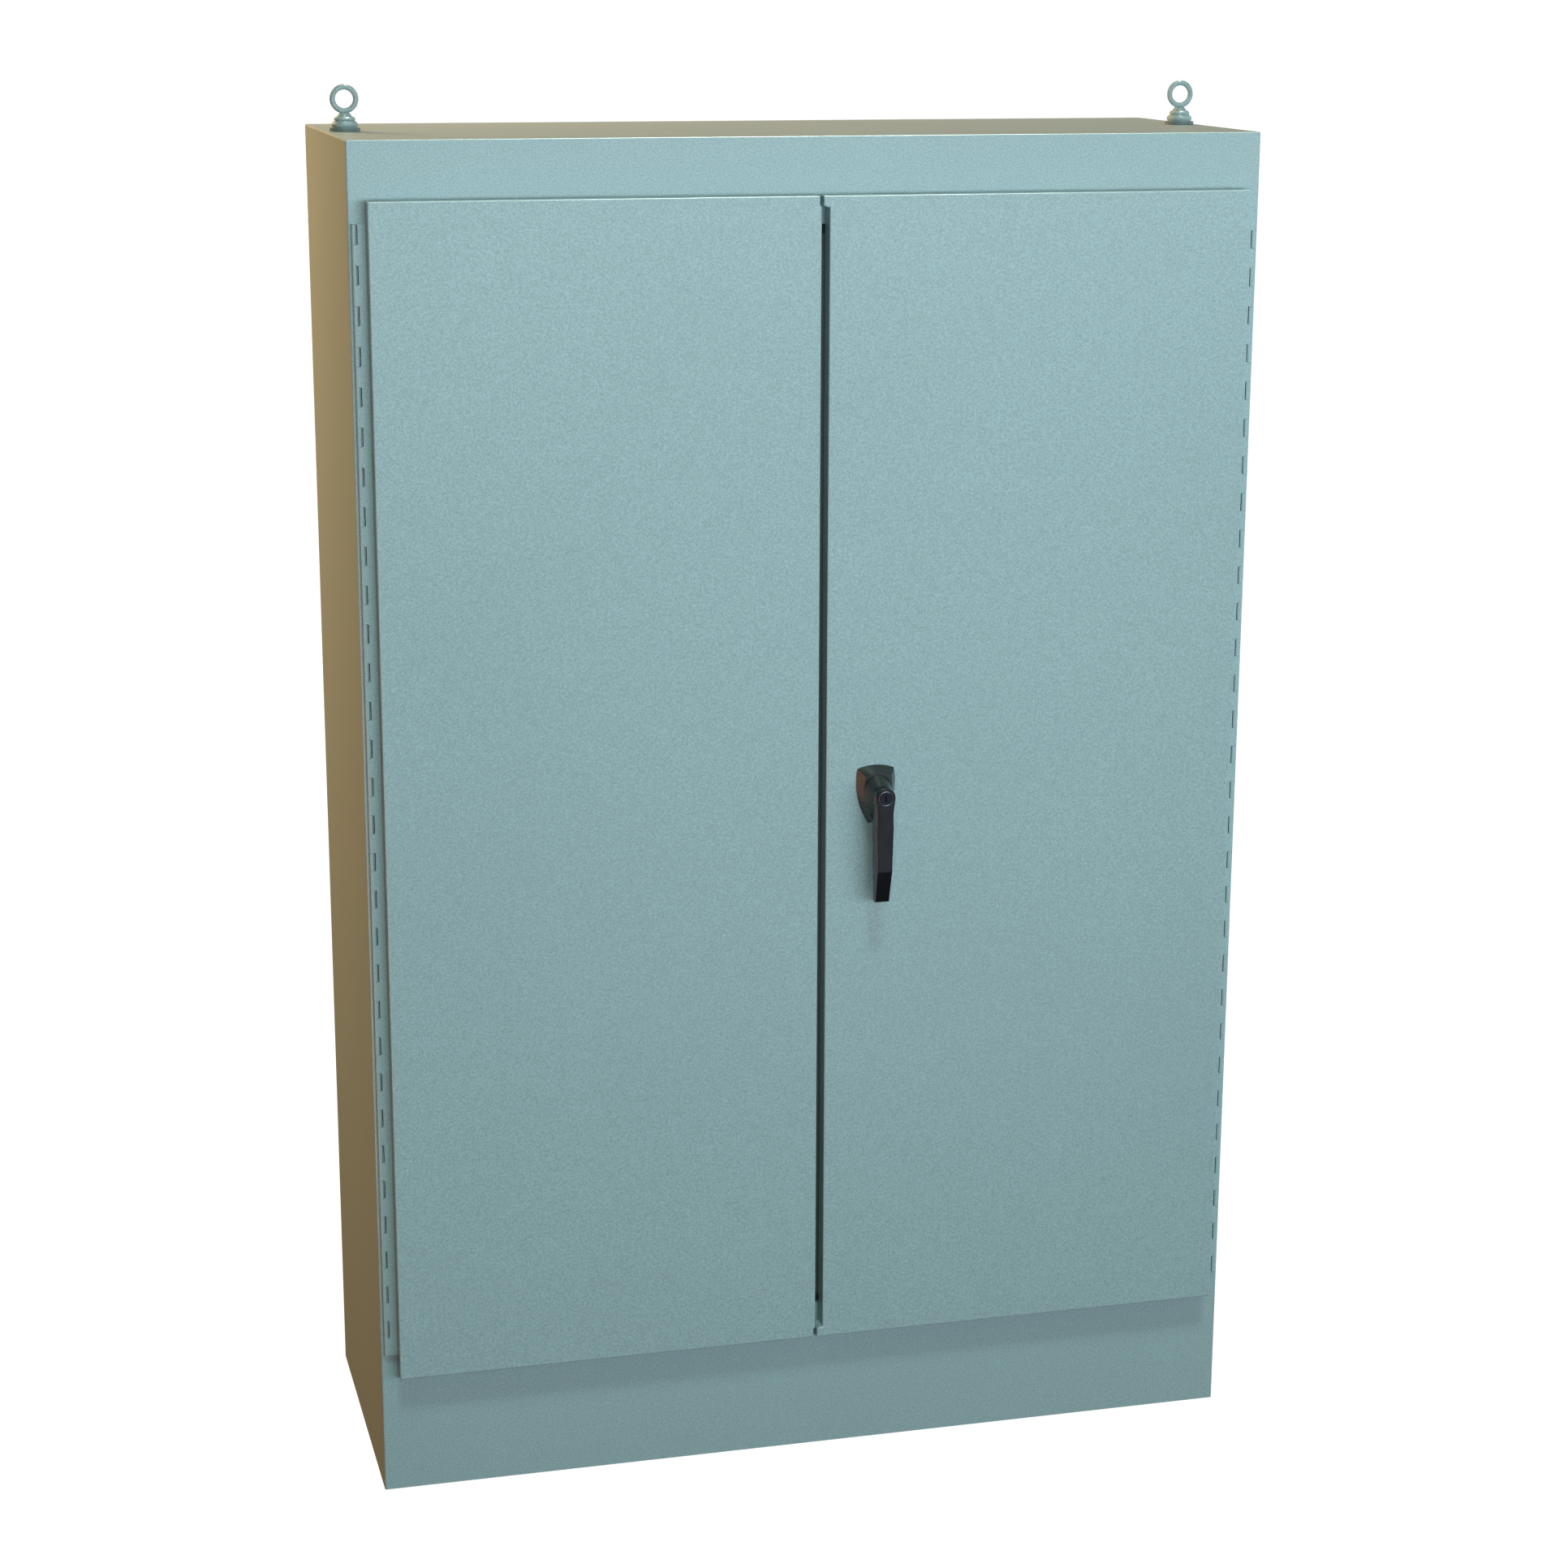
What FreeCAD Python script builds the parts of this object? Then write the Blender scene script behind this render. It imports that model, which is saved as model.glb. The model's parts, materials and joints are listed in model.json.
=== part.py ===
import FreeCAD, Part
import math
import os

# Automatic transfer switch in a two-door, floor-standing sheet-metal enclosure.
# Millimetres. The origin is on the floor at the centre of the footprint, -Y is the front, +Z is up.

# Enclosure shell
WIDTH = 1219.2
HEIGHT = 1828.8
DEPTH = 457.2
SHEET = 2.7
BEND_R = 2.6
ROOF_RIM_R = 2.3
FRONT = -DEPTH / 2
BACK = DEPTH / 2
SIDE = WIDTH / 2
INNER_SIDE = SIDE - SHEET
WALL_TOP = HEIGHT - SHEET
OPENING_X = 551.0
OPENING_Z0 = 213.0
OPENING_Z1 = 1717.0
LIP_DEPTH = 20.0
HEM_HEIGHT = 28.0
ANCHOR_X = 558.8
ANCHOR_Y = 177.8
ANCHOR_R = 7.15
CUT = 1.0                      # how far a cutting shape runs past the face it opens

# Removable gland plate over the cable cut-out in the floor
GLAND_CUTOUT = (-460.0, -140.0, -60.0, 110.0)
GLAND_RIM = 22.0
GLAND_THICK = 3.0
SCREW_R = 3.0
BOLT_HEAD_W = 10.0
BOLT_HEAD_H = 4.0

# Centre post between the two doors
POST_X = 40.0
POST_Z0 = 228.0
POST_Z1 = 1705.0
POST_DEPTH = 30.0
POST_SHEET = 2.0
POST_RETURN = 12.0
POST_SCREW_X = 20.0
TAB_Y = FRONT + LIP_DEPTH
TAB_THICK = 3.0
TAB_OVERLAP = 40.0
TAB_SCREW_INSET = HEM_HEIGHT / 2 + 2

# Lifting eyes
EYE_X = 582.0
EYE_SHANK_R = 6.5
EYE_SHANK_DROP = 22.0
EYE_WASHER_R = 20.0
EYE_WASHER_H = 4.5
EYE_COLLAR_R = 16.3
EYE_COLLAR_TOP_R = 13.2
EYE_COLLAR_H = 9.5
EYE_NECK_R = 11.2
EYE_NECK_TOP_R = 5.5
EYE_NECK_H = 10.5
EYE_RING_Z = 41.7
EYE_RING_MAJOR = 15.3
EYE_RING_MINOR = 3.5
EYE_NUT_W = 20.0
EYE_NUT_H = 11.0

# Piano hinges
HINGE_X = 602.8
HINGE_Y = FRONT - 3.3
HINGE_R = 3.0
HINGE_PIN_R = 1.5
HINGE_BORE_R = 1.56
KNUCKLE = 25.4
KNUCKLE_GAP = 0.3
KNUCKLES = 60
HINGE_LENGTH = KNUCKLE * KNUCKLES
HINGE_Z0 = 202.0
LEAF_THICK = 1.2
LEAF_INNER_X = 576.0
FRAME_LEAF_NOTCH = 2.7
DOOR_LEAF_NOTCH = 3.0

# Doors
DOOR_PROUD = 30.0
DOOR_SHEET = 2.0
DOOR_RIM_R = 1.8
DOOR_Z0 = 175.0
DOOR_Z1 = 1754.5
DOOR_OUTER_X = 588.0
DOOR_RETURN = 33.0
DOOR_FRONT = FRONT - DOOR_PROUD
DOOR_REAR = FRONT - 6.3
DOOR_INNER = DOOR_FRONT + DOOR_SHEET
LEFT_DOOR_EDGE = -4.1
LEFT_DOOR_CORNER = -6.4
RIGHT_DOOR_EDGE = 6.5
RIGHT_DOOR_CORNER = -1.6
RIGHT_DOOR_STEP = 3.0
CORNER_HEIGHT = 14.0
CORNER_CHAMFER = 2.5
GASKET_WIDTH = 12.0
GASKET_REAR = FRONT - 0.3
GASKET_OUTER_X = 571.0
LEFT_GASKET_FREE_X = -14.0
RIGHT_GASKET_FREE_X = 16.5
GASKET_INSET_Z = 18.0
STIFFENER_XS = (180.0, 460.0)
STIFFENER_REAR = FRONT - 10.0
STIFFENER_WIDTH = 50.0
STIFFENER_FOOT = 12.0
STIFFENER_SHEET = 1.5
STIFFENER_INSET_Z = 45.0

# Document pocket inside the right door
POCKET = (225.0, 415.0, 500.0, 690.0)
POCKET_REAR = FRONT - 3.0
POCKET_WALL = 2.0

# Handle on the right door
PIVOT_X = 75.0
PIVOT_Z = 964.0
SPINDLE_R = 8.0
SPINDLE_BORE_R = 8.06
SLEEVE_R = 12.0
SLEEVE_LENGTH = 9.0
PLATE_FRONT = DOOR_FRONT - 2.0
ESCUTCHEON_FACE = DOOR_FRONT - 16.0
ESCUTCHEON_BEVEL = 7.5
ESCUTCHEON_TOP = 998.8
ESCUTCHEON_SHOULDER = 4.8
ESCUTCHEON_WIDEST_Z = 966.0
ESCUTCHEON_TIP = 918.7
ESCUTCHEON_HALF_TOP = 25.3
ESCUTCHEON_HALF_WIDEST = 26.6
ESCUTCHEON_HALF_TIP = 10.0
NECK_FRONT = DOOR_FRONT - 34.0
HUB_R = 13.8
HUB_BACK = DOOR_FRONT - 34.3
HUB_FRONT = DOOR_FRONT - 52.0
LEVER_Z = 816.0
LEVER_SLOPE_Z = 862.0
LEVER_EDGE_R = 1.6
BOSS_RISE = 0.8
BOSS_EMBED = 2.0
BOSS_RIM = 2.2
KEY_R = 9.0
KEY_BORE_R = 9.06
KEY_BORE_DEPTH = 12.0
KEY_RISE = 1.2
KEY_LENGTH = 12.5
KEY_SLOT = (1.6, 9.0, 5.8)     # width, height and depth

# Latch behind the right door
BRACKET_HALF = 30.0
BRACKET_SHEET = 3.0
BRACKET_REAR = FRONT - 9.0
CAM_Y = FRONT + 0.5
CAM_THICK = 3.0
CAM_PIN_R = 3.0
CAM_PIN_OFFSET = 15.0
CAM_RIM = 6.0
ROD_Y = FRONT + 4.0
ROD_THICK = 3.0
ROD_WIDTH = 20.0
ROD_Z0 = 216.0
ROD_Z1 = 1714.0
ROD_SLOT_HEIGHT = 8.0
ROD_SLOT_WIDTH = 12.6
ROD_END = 10.0
ROD_OFFSET = 12.5
UPPER_ROD_X = PIVOT_X - ROD_OFFSET
LOWER_ROD_X = PIVOT_X + ROD_OFFSET
GUIDE_GAP = 0.35
ROD_GUIDE_H = 18.0
ROD_GUIDE_WALL = 6.0
ROD_GUIDE_BACK = 5.0
UPPER_GUIDE_Z = (1120.0, 1390.0, 1660.0)
LOWER_GUIDE_Z = (250.0, 520.0, 790.0)

# Flush bolts behind the left door, stored drawn back
BOLT_X = -62.0
BOLT_Y = FRONT + 26.0
BOLT_R = 5.0
BOLT_BORE_R = 5.06
BOLT_LENGTH = 175.0
BOLT_GAP = 5.0
BOLT_GRIP_AT = 75.0
BOLT_GRIP_R = 4.0
BOLT_GRIP_LENGTH = 22.0
BOLT_KNOB_R = 9.0
BOLT_KNOB_H = 8.0
BOLT_GUIDE_HALF = 11.0
BOLT_GUIDE_H = 20.0
BOLT_GUIDE_Z = (1566.0, 1672.0, 238.0, 344.0)

# Mounting panel on its studs
PANEL_X = 530.0
PANEL_Z0 = 235.0
PANEL_Z1 = 1700.0
PANEL_FRONT = 183.0
PANEL_SHEET = 3.0
PANEL_BACK = PANEL_FRONT + PANEL_SHEET
PANEL_FLANGE = 18.0
STUD_X = 505.0
STUD_Z = (265.0, 733.0, 1202.0, 1670.0)
STUD_R = 8.0
STUD_THREAD_R = 5.0
STUD_REACH = 13.0
PANEL_NUT_W = 16.0
PANEL_NUT_H = 8.0

# Switching cases, one above the other on a base plate
BASE_PLATE = (-440.0, -130.0, 545.0, 1640.0)
BASE_FRONT = 179.0
CASE_X0 = -400.0
CASE_X1 = -190.0
CASE_H = 405.0
CASE_FRONT = 39.0
CASE_STEP = 79.0
CASE_EDGE_R = 4.0
NORMAL_Z0 = 1180.0
EMERGENCY_Z0 = 590.0
POLE_PITCH = 70.0
POLES_X = (-365.0, -295.0, -225.0)
SLOT_HALF_X = 13.0
SLOT_HALF_Z = 27.0
SLOT_BEHIND_PIN = 14.0
TERMINAL_H = 72.0
BARRIER_HALF = 3.0
BARRIER_DEPTH = 42.0
BARRIER_LEDGE = 8.0

# Toggles and the bar that drives them
TOGGLE_X = -295.0
TOGGLE_Y = 85.0
TOGGLE_LEN = 70.0
TOGGLE_SWING = 20.0
TOGGLE_HALF_X = 10.0
TOGGLE_HALF_Z = 4.5
TOGGLE_HUB_R = 10.0
TOGGLE_PIN_R = 3.0
TOGGLE_PIN_HALF = 19.5
TOGGLE_PIN_BORE_R = 3.06
TOGGLE_BORE_HALF = 20.0
ROLLER_R = 8.0
ROLLER_HALF = 20.0
SLIDE_X0 = -250.0
SLIDE_X1 = -230.0
SLIDE_Y0 = 10.0
SLIDE_Y1 = 22.0
SLIDE_Z0 = 595.0
SLIDE_Z1 = 1625.0
FORK_X0 = -318.0
FORK_Y0 = 8.0
FORK_Y1 = 24.0
FORK_GAP = ROLLER_R + 0.6
FORK_THICK = 8.0
SLIDE_GUIDE_Z = (603.0, 979.0, 1184.0, 1560.0)
SLIDE_GUIDE_Y0 = 4.0
SLIDE_GUIDE_H = 12.0
SLIDE_GUIDE_WALL = 12.0

# Rack and pinion
GEAR_MODULE = 2.5
GEAR_TEETH = 16
GEAR_R = GEAR_MODULE * GEAR_TEETH / 2
GEAR_ADDENDUM = 2.0
GEAR_DEDENDUM = 2.9
GEAR_BACKLASH = 0.25
FLANK_STEPS = 6
PRESSURE_ANGLE = math.radians(20)
PINION_X = SLIDE_X1 + GEAR_DEDENDUM + GEAR_R
PINION_Z = 1115.0
RACK_PITCH = math.pi * GEAR_MODULE
RACK_TEETH_BELOW = 2
RACK_TEETH_ABOVE = 8
RACK_EMBED = 0.5
SHAFT_R = 6.0
SHAFT_BORE_R = 6.06
SHAFT_DEPTH = 24.0

# Gear motor on its bracket
MOTOR_Y = 36.0
MOTOR_R = 36.0
MOTOR_LENGTH = 95.0
MOTOR_SHEET = 4.0
MOTOR_HALF = 34.0
MOTOR_LEG_X = -150.0
MOTOR_FOOT_X = -134.0

# Load side
BUSBAR_W = 30.0
BUSBAR_Y0 = 150.0
BUSBAR_Y1 = 156.0
LUG_W = 40.0
LUG_H = 40.0
LUG_FRONT = 112.0
LUG_BORE_R = 10.0
LUG_SCREW_R = 6.0
LUG_SCREW_DEPTH = 11.0
LOAD_LUG_Z = 1022.0

# Controller
CONTROLLER = (150.0, 400.0, 103.0, PANEL_FRONT, 1250.0, 1550.0)
CONTROLLER_EDGE_R = 5.0
DISPLAY_INSET_X = 25.0
DISPLAY_Z = (1390.0, 1510.0)
DISPLAY_SINK = 2.0
DISPLAY_THICK = 4.0
TEST_X = 200.0
TEST_Z = 1300.0
TEST_R = 8.7
TEST_BORE_R = 9.0
TEST_RISE = 5.0
TEST_LENGTH = 14.0
TEST_BORE_DEPTH = 15.0
SELECTOR_X = 350.0
SELECTOR_Z = 1305.0
SELECTOR_STEM_R = 6.0
SELECTOR_BORE_R = 6.06
SELECTOR_BORE_DEPTH = 25.0
SELECTOR_SKIRT_R = 17.0
SELECTOR_SKIRT_H = 7.5
SELECTOR_GAP = 0.5
SELECTOR_GRIP_HALF_X = 4.5
SELECTOR_GRIP_HALF_Z = 16.0
SELECTOR_GRIP_RISE = 22.0

# Control power and wiring
TRANSFORMER_XS = (130.0, 300.0)
CORE = (0.0, 120.0, 98.0, 173.0, 1035.0, 1135.0)
COIL = (25.0, 95.0, 88.0, 180.0, 1050.0, 1120.0)
FOOT = (-10.0, 130.0, PANEL_FRONT - 10.0, PANEL_FRONT, 1045.0, 1125.0)
RAIL_X = (95.0, 442.0)
RAIL_Z = 925.0
RAIL_SHEET = 1.2
RAIL_DEPTH = 7.5
RAIL_WEB_HALF = 13.0
RAIL_HALF = 17.5
TERMINAL_X = 110.0
TERMINAL_PITCH = 8.0
TERMINAL_COUNT = 22
FUSE_X = 310.0
FUSE_PITCH = 18.0
FUSE_COUNT = 6
MODULE_GAP = 0.4
MODULE_NOTCH_H = 10.0
MODULE_NOTCH_D = 5.0
BAR_X = (130.0, 430.0)
BAR_THICK = 10.0
BAR_HEIGHT = 32.0
BAR_HOLE_R = 4.0
BAR_HOLE_DEPTH = 5.0
BAR_HOLE_PITCH = 25.0
BAR_STAND_INSET = 12.0
DUCT_FRONT = PANEL_FRONT - 60.0
DUCT_WALL = 2.0
DUCTS = (
    (40.0, 80.0, 420.0, 1640.0, True),
    (448.0, 488.0, 720.0, 1640.0, True),
    (82.0, 446.0, 1180.0, 1220.0, False),
    (82.0, 446.0, 1600.0, 1640.0, False),
)

X_AXIS = FreeCAD.Vector(1, 0, 0)
Y_AXIS = FreeCAD.Vector(0, 1, 0)
Z_AXIS = FreeCAD.Vector(0, 0, 1)


def vec(x, y, z):
    return FreeCAD.Vector(x, y, z)


def box(x0, x1, y0, y1, z0, z1):
    return Part.makeBox(x1 - x0, y1 - y0, z1 - z0, vec(x0, y0, z0))


def rod(start, axis, length, radius):
    return Part.makeCylinder(radius, length, start, axis)


def tube(start, axis, length, outer, inner):
    return rod(start, axis, length, outer).cut(rod(start, axis, length, inner))


def drill(shape, start, axis, depth, radius):
    """Cut a round hole of this depth below a face; the tool starts a little outside the face."""
    return shape.cut(rod(start - axis * CUT, axis, depth + CUT, radius))


def fuse(shapes):
    return shapes[0].multiFuse(shapes[1:]).removeSplitter()


def group(shapes):
    return Part.makeCompound(shapes)


def polygon_face(points):
    return Part.Face(Part.makePolygon(points + [points[0]]))


def prism_y(outline, y0, y1):
    return polygon_face([vec(x, y0, z) for x, z in outline]).extrude(vec(0, y1 - y0, 0))


def prism_z(outline, z0, z1):
    return polygon_face([vec(x, y, z0) for x, y in outline]).extrude(vec(0, 0, z1 - z0))


def prism_x(outline, x0, x1):
    return polygon_face([vec(x0, y, z) for y, z in outline]).extrude(vec(x1 - x0, 0, 0))


def hexagon(u, v, across_flats):
    corner = across_flats / math.sqrt(3)
    angles = [math.radians(60 * i) for i in range(6)]
    return [(u + corner * math.cos(a), v + corner * math.sin(a)) for a in angles]


def mirror_x(shape):
    return shape.mirror(vec(0, 0, 0), X_AXIS)


def turned(shape, centre, axis, degrees):
    copy = shape.copy()
    copy.rotate(centre, axis, degrees)
    return copy


def moved(shape, x, y, z):
    copy = shape.copy()
    copy.translate(vec(x, y, z))
    return copy


def edges_where(shape, test):
    return [e for e in shape.Edges if test(e.BoundBox)]


def near(a, b):
    return abs(a - b) < 0.01


def front_rim(shape, y):
    """The edges that lie in the plane at this y."""
    return edges_where(shape, lambda b: near(b.YMin, b.YMax) and near(b.YMin, y))


# Enclosure body

def left_side_panel():
    wall = box(-SIDE, -SIDE + SHEET, FRONT, BACK, 0, WALL_TOP)
    stile = box(-SIDE, -OPENING_X, FRONT, FRONT + SHEET, 0, WALL_TOP)
    lip = box(-OPENING_X - SHEET, -OPENING_X, FRONT, FRONT + LIP_DEPTH, OPENING_Z0, OPENING_Z1)
    body = fuse([wall, stile, lip])
    corners = edges_where(body, lambda b: near(b.XMin, b.XMax) and near(b.XMin, -SIDE)
                          and near(b.YMin, b.YMax) and near(abs(b.YMin), BACK))
    return body.makeFillet(BEND_R, corners)


def right_side_panel():
    return mirror_x(left_side_panel())


def roof_panel():
    plate = box(-SIDE, SIDE, FRONT, BACK, WALL_TOP, HEIGHT)
    upright = edges_where(plate, lambda b: near(b.XMin, b.XMax) and near(b.YMin, b.YMax))
    plate = plate.makeFillet(BEND_R, upright)
    plate = plate.makeFillet(ROOF_RIM_R, edges_where(plate, lambda b: near(b.ZMin, HEIGHT)))
    for x in (-EYE_X, EYE_X):
        plate = drill(plate, vec(x, 0, WALL_TOP), Z_AXIS, SHEET + CUT, EYE_SHANK_R)
    return plate


def back_panel():
    return box(-INNER_SIDE, INNER_SIDE, BACK - SHEET, BACK, 0, WALL_TOP)


def floor_panel():
    plate = box(-INNER_SIDE, INNER_SIDE, FRONT + SHEET, BACK - SHEET, 0, SHEET)
    plate = plate.cut(box(*GLAND_CUTOUT, -CUT, SHEET + CUT))
    for x in (-ANCHOR_X, ANCHOR_X):
        for y in (-ANCHOR_Y, ANCHOR_Y):
            plate = drill(plate, vec(x, y, 0), Z_AXIS, SHEET + CUT, ANCHOR_R)
    return plate


def gland_bolt_points():
    x0, x1, y0, y1 = GLAND_CUTOUT
    edge = GLAND_RIM / 2
    xs = (x0 - edge, (x0 + x1) / 2, x1 + edge)
    return [(x, y) for x in xs for y in (y0 - edge, y1 + edge)]


def gland_plate():
    x0, x1, y0, y1 = GLAND_CUTOUT
    rim = GLAND_RIM
    plate = box(x0 - rim, x1 + rim, y0 - rim, y1 + rim, SHEET, SHEET + GLAND_THICK)
    for x, y in gland_bolt_points():
        plate = drill(plate, vec(x, y, SHEET), Z_AXIS, GLAND_THICK + CUT, SCREW_R)
    return plate


def front_header():
    rear = FRONT + LIP_DEPTH
    face = box(-OPENING_X, OPENING_X, FRONT, FRONT + SHEET, OPENING_Z1, WALL_TOP)
    lip = box(-OPENING_X, OPENING_X, FRONT, rear, OPENING_Z1, OPENING_Z1 + SHEET)
    hem = box(-OPENING_X, OPENING_X, rear - SHEET, rear, OPENING_Z1, OPENING_Z1 + HEM_HEIGHT)
    return fuse([face, lip, hem]).cut(post_screw_shanks())


def front_apron():
    rear = FRONT + LIP_DEPTH
    face = box(-OPENING_X, OPENING_X, FRONT, FRONT + SHEET, 0, OPENING_Z0)
    lip = box(-OPENING_X, OPENING_X, FRONT, rear, OPENING_Z0 - SHEET, OPENING_Z0)
    hem = box(-OPENING_X, OPENING_X, rear - SHEET, rear, OPENING_Z0 - HEM_HEIGHT, OPENING_Z0)
    return fuse([face, lip, hem]).cut(post_screw_shanks())


# Centre post

def post_screw_points():
    z_values = (OPENING_Z1 + TAB_SCREW_INSET, OPENING_Z0 - TAB_SCREW_INSET)
    return [(x, z) for x in (-POST_SCREW_X, POST_SCREW_X) for z in z_values]


def post_screw_shank(x, z):
    return rod(vec(x, TAB_Y - SHEET, z), Y_AXIS, SHEET + TAB_THICK, SCREW_R)


def post_screw_shanks():
    return group([post_screw_shank(x, z) for x, z in post_screw_points()])


def centre_post():
    inner = POST_X - POST_SHEET
    rear = FRONT + POST_DEPTH
    tab_rear = TAB_Y + TAB_THICK
    web = box(-POST_X, POST_X, FRONT, FRONT + POST_SHEET, POST_Z0, POST_Z1)
    left = box(-POST_X, -inner, FRONT, rear, POST_Z0, POST_Z1)
    left_return = box(-POST_X, -POST_X + POST_RETURN, rear - POST_SHEET, rear, POST_Z0, POST_Z1)
    top_tab = box(-inner, inner, TAB_Y, tab_rear, POST_Z1 - TAB_OVERLAP, OPENING_Z1 + HEM_HEIGHT)
    bottom_tab = box(-inner, inner, TAB_Y, tab_rear, OPENING_Z0 - HEM_HEIGHT, POST_Z0 + TAB_OVERLAP)
    pieces = [web, left, mirror_x(left), left_return, mirror_x(left_return), top_tab, bottom_tab]
    return fuse(pieces).cut(post_screw_shanks())


def frame_bolts():
    """The bolts of the gland plate and the screws of the centre post's tabs."""
    bolts = []
    gland_top = SHEET + GLAND_THICK
    for x, y in gland_bolt_points():
        shank = rod(vec(x, y, SHEET), Z_AXIS, GLAND_THICK, SCREW_R)
        head = prism_z(hexagon(x, y, BOLT_HEAD_W), gland_top, gland_top + BOLT_HEAD_H)
        bolts.append(fuse([shank, head]))
    tab_rear = TAB_Y + TAB_THICK
    for x, z in post_screw_points():
        head = prism_y(hexagon(x, z, BOLT_HEAD_W), tab_rear, tab_rear + BOLT_HEAD_H)
        bolts.append(fuse([post_screw_shank(x, z), head]))
    return group(bolts)


# Lifting eyes

def domed_ring(x, base, height, bottom_r, top_r):
    """A solid of revolution whose side bulges from the bottom radius in to the top radius."""
    bulge = vec(x + bottom_r * 0.25 + top_r * 0.75 + height * 0.12, 0, base + height * 0.72)
    side = Part.Arc(vec(x + bottom_r, 0, base + height * 0.2), bulge, vec(x + top_r, 0, base + height))
    foot = Part.makeLine(vec(x, 0, base), vec(x + bottom_r, 0, base))
    wall = Part.makeLine(vec(x + bottom_r, 0, base), vec(x + bottom_r, 0, base + height * 0.2))
    lid = Part.makeLine(vec(x + top_r, 0, base + height), vec(x, 0, base + height))
    axis = Part.makeLine(vec(x, 0, base + height), vec(x, 0, base))
    return Part.Face(Part.Wire([foot, wall, side.toShape(), lid, axis])).revolve(vec(x, 0, 0), Z_AXIS, 360)


def lifting_eye(x):
    base = HEIGHT + EYE_WASHER_H
    collar = domed_ring(x, base, EYE_COLLAR_H, EYE_COLLAR_R, EYE_COLLAR_TOP_R)
    neck = domed_ring(x, base + EYE_COLLAR_H, EYE_NECK_H, EYE_NECK_R, EYE_NECK_TOP_R)
    ring = Part.makeTorus(EYE_RING_MAJOR, EYE_RING_MINOR, vec(x, 0, HEIGHT + EYE_RING_Z), Y_AXIS)
    shank_z0 = WALL_TOP - EYE_SHANK_DROP
    shank = rod(vec(x, 0, shank_z0), Z_AXIS, base - shank_z0, EYE_SHANK_R)
    return fuse([collar, neck, ring, shank])


def lifting_eyes():
    return group([lifting_eye(-EYE_X), lifting_eye(EYE_X)])


def eye_washers():
    return group([tube(vec(x, 0, HEIGHT), Z_AXIS, EYE_WASHER_H, EYE_WASHER_R, EYE_SHANK_R)
                  for x in (-EYE_X, EYE_X)])


def eye_nuts():
    nuts = []
    for x in (-EYE_X, EYE_X):
        nut = prism_z(hexagon(x, 0, EYE_NUT_W), WALL_TOP - EYE_NUT_H, WALL_TOP)
        nuts.append(drill(nut, vec(x, 0, WALL_TOP - EYE_NUT_H), Z_AXIS, EYE_NUT_H + CUT, EYE_SHANK_R))
    return group(nuts)


# Piano hinges, drawn for the left side

def knuckle_span(index):
    top = HINGE_Z0 + KNUCKLE * (KNUCKLES - index)
    return top - KNUCKLE + KNUCKLE_GAP / 2, top - KNUCKLE_GAP / 2


def hinge_leaf(first, y0, notch, bore_r):
    """A leaf that carries every second knuckle, counted from the given one at the top."""
    y1 = y0 + LEAF_THICK
    pieces = [box(-HINGE_X + notch, -LEAF_INNER_X, y0, y1, HINGE_Z0, HINGE_Z0 + HINGE_LENGTH)]
    for index in range(first, KNUCKLES, 2):
        z0, z1 = knuckle_span(index)
        barrel = rod(vec(-HINGE_X, HINGE_Y, z0), Z_AXIS, z1 - z0, HINGE_R)
        pieces.append(barrel.fuse(box(-HINGE_X, -HINGE_X + notch, y0, y1, z0, z1)))
    leaf = pieces[0].multiFuse(pieces[1:])
    return drill(leaf, vec(-HINGE_X, HINGE_Y, HINGE_Z0), Z_AXIS, HINGE_LENGTH + CUT, bore_r)


def frame_leaf(first):
    return hinge_leaf(first, FRONT - LEAF_THICK, FRAME_LEAF_NOTCH, HINGE_PIN_R)


def door_leaf(first):
    return hinge_leaf(first, DOOR_REAR, DOOR_LEAF_NOTCH, HINGE_BORE_R)


def hinge_frame_leaves():
    return group([frame_leaf(0), mirror_x(frame_leaf(1))])


def left_hinge_door_leaf():
    return door_leaf(1)


def right_hinge_door_leaf():
    return mirror_x(door_leaf(0))


def hinge_pins():
    left = rod(vec(-HINGE_X, HINGE_Y, HINGE_Z0), Z_AXIS, HINGE_LENGTH, HINGE_PIN_R)
    return group([left, mirror_x(left)])


# Doors

def left_door_outline():
    low = DOOR_Z0 + CORNER_HEIGHT
    high = DOOR_Z1 - CORNER_HEIGHT
    return [(-DOOR_OUTER_X, DOOR_Z0), (LEFT_DOOR_CORNER, DOOR_Z0), (LEFT_DOOR_CORNER, low - CORNER_CHAMFER),
            (LEFT_DOOR_EDGE, low), (LEFT_DOOR_EDGE, high), (LEFT_DOOR_CORNER, high + CORNER_CHAMFER),
            (LEFT_DOOR_CORNER, DOOR_Z1), (-DOOR_OUTER_X, DOOR_Z1)]


def right_door_outline():
    low = DOOR_Z0 + CORNER_HEIGHT
    high = DOOR_Z1 - CORNER_HEIGHT
    step = RIGHT_DOOR_CORNER + RIGHT_DOOR_STEP
    return [(DOOR_OUTER_X, DOOR_Z0), (RIGHT_DOOR_CORNER, DOOR_Z0), (RIGHT_DOOR_CORNER, low - CORNER_CHAMFER),
            (step, low), (RIGHT_DOOR_EDGE, low + 1), (RIGHT_DOOR_EDGE, high - 1),
            (step, high), (RIGHT_DOOR_CORNER, high + CORNER_CHAMFER),
            (RIGHT_DOOR_CORNER, DOOR_Z1), (DOOR_OUTER_X, DOOR_Z1)]


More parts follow.
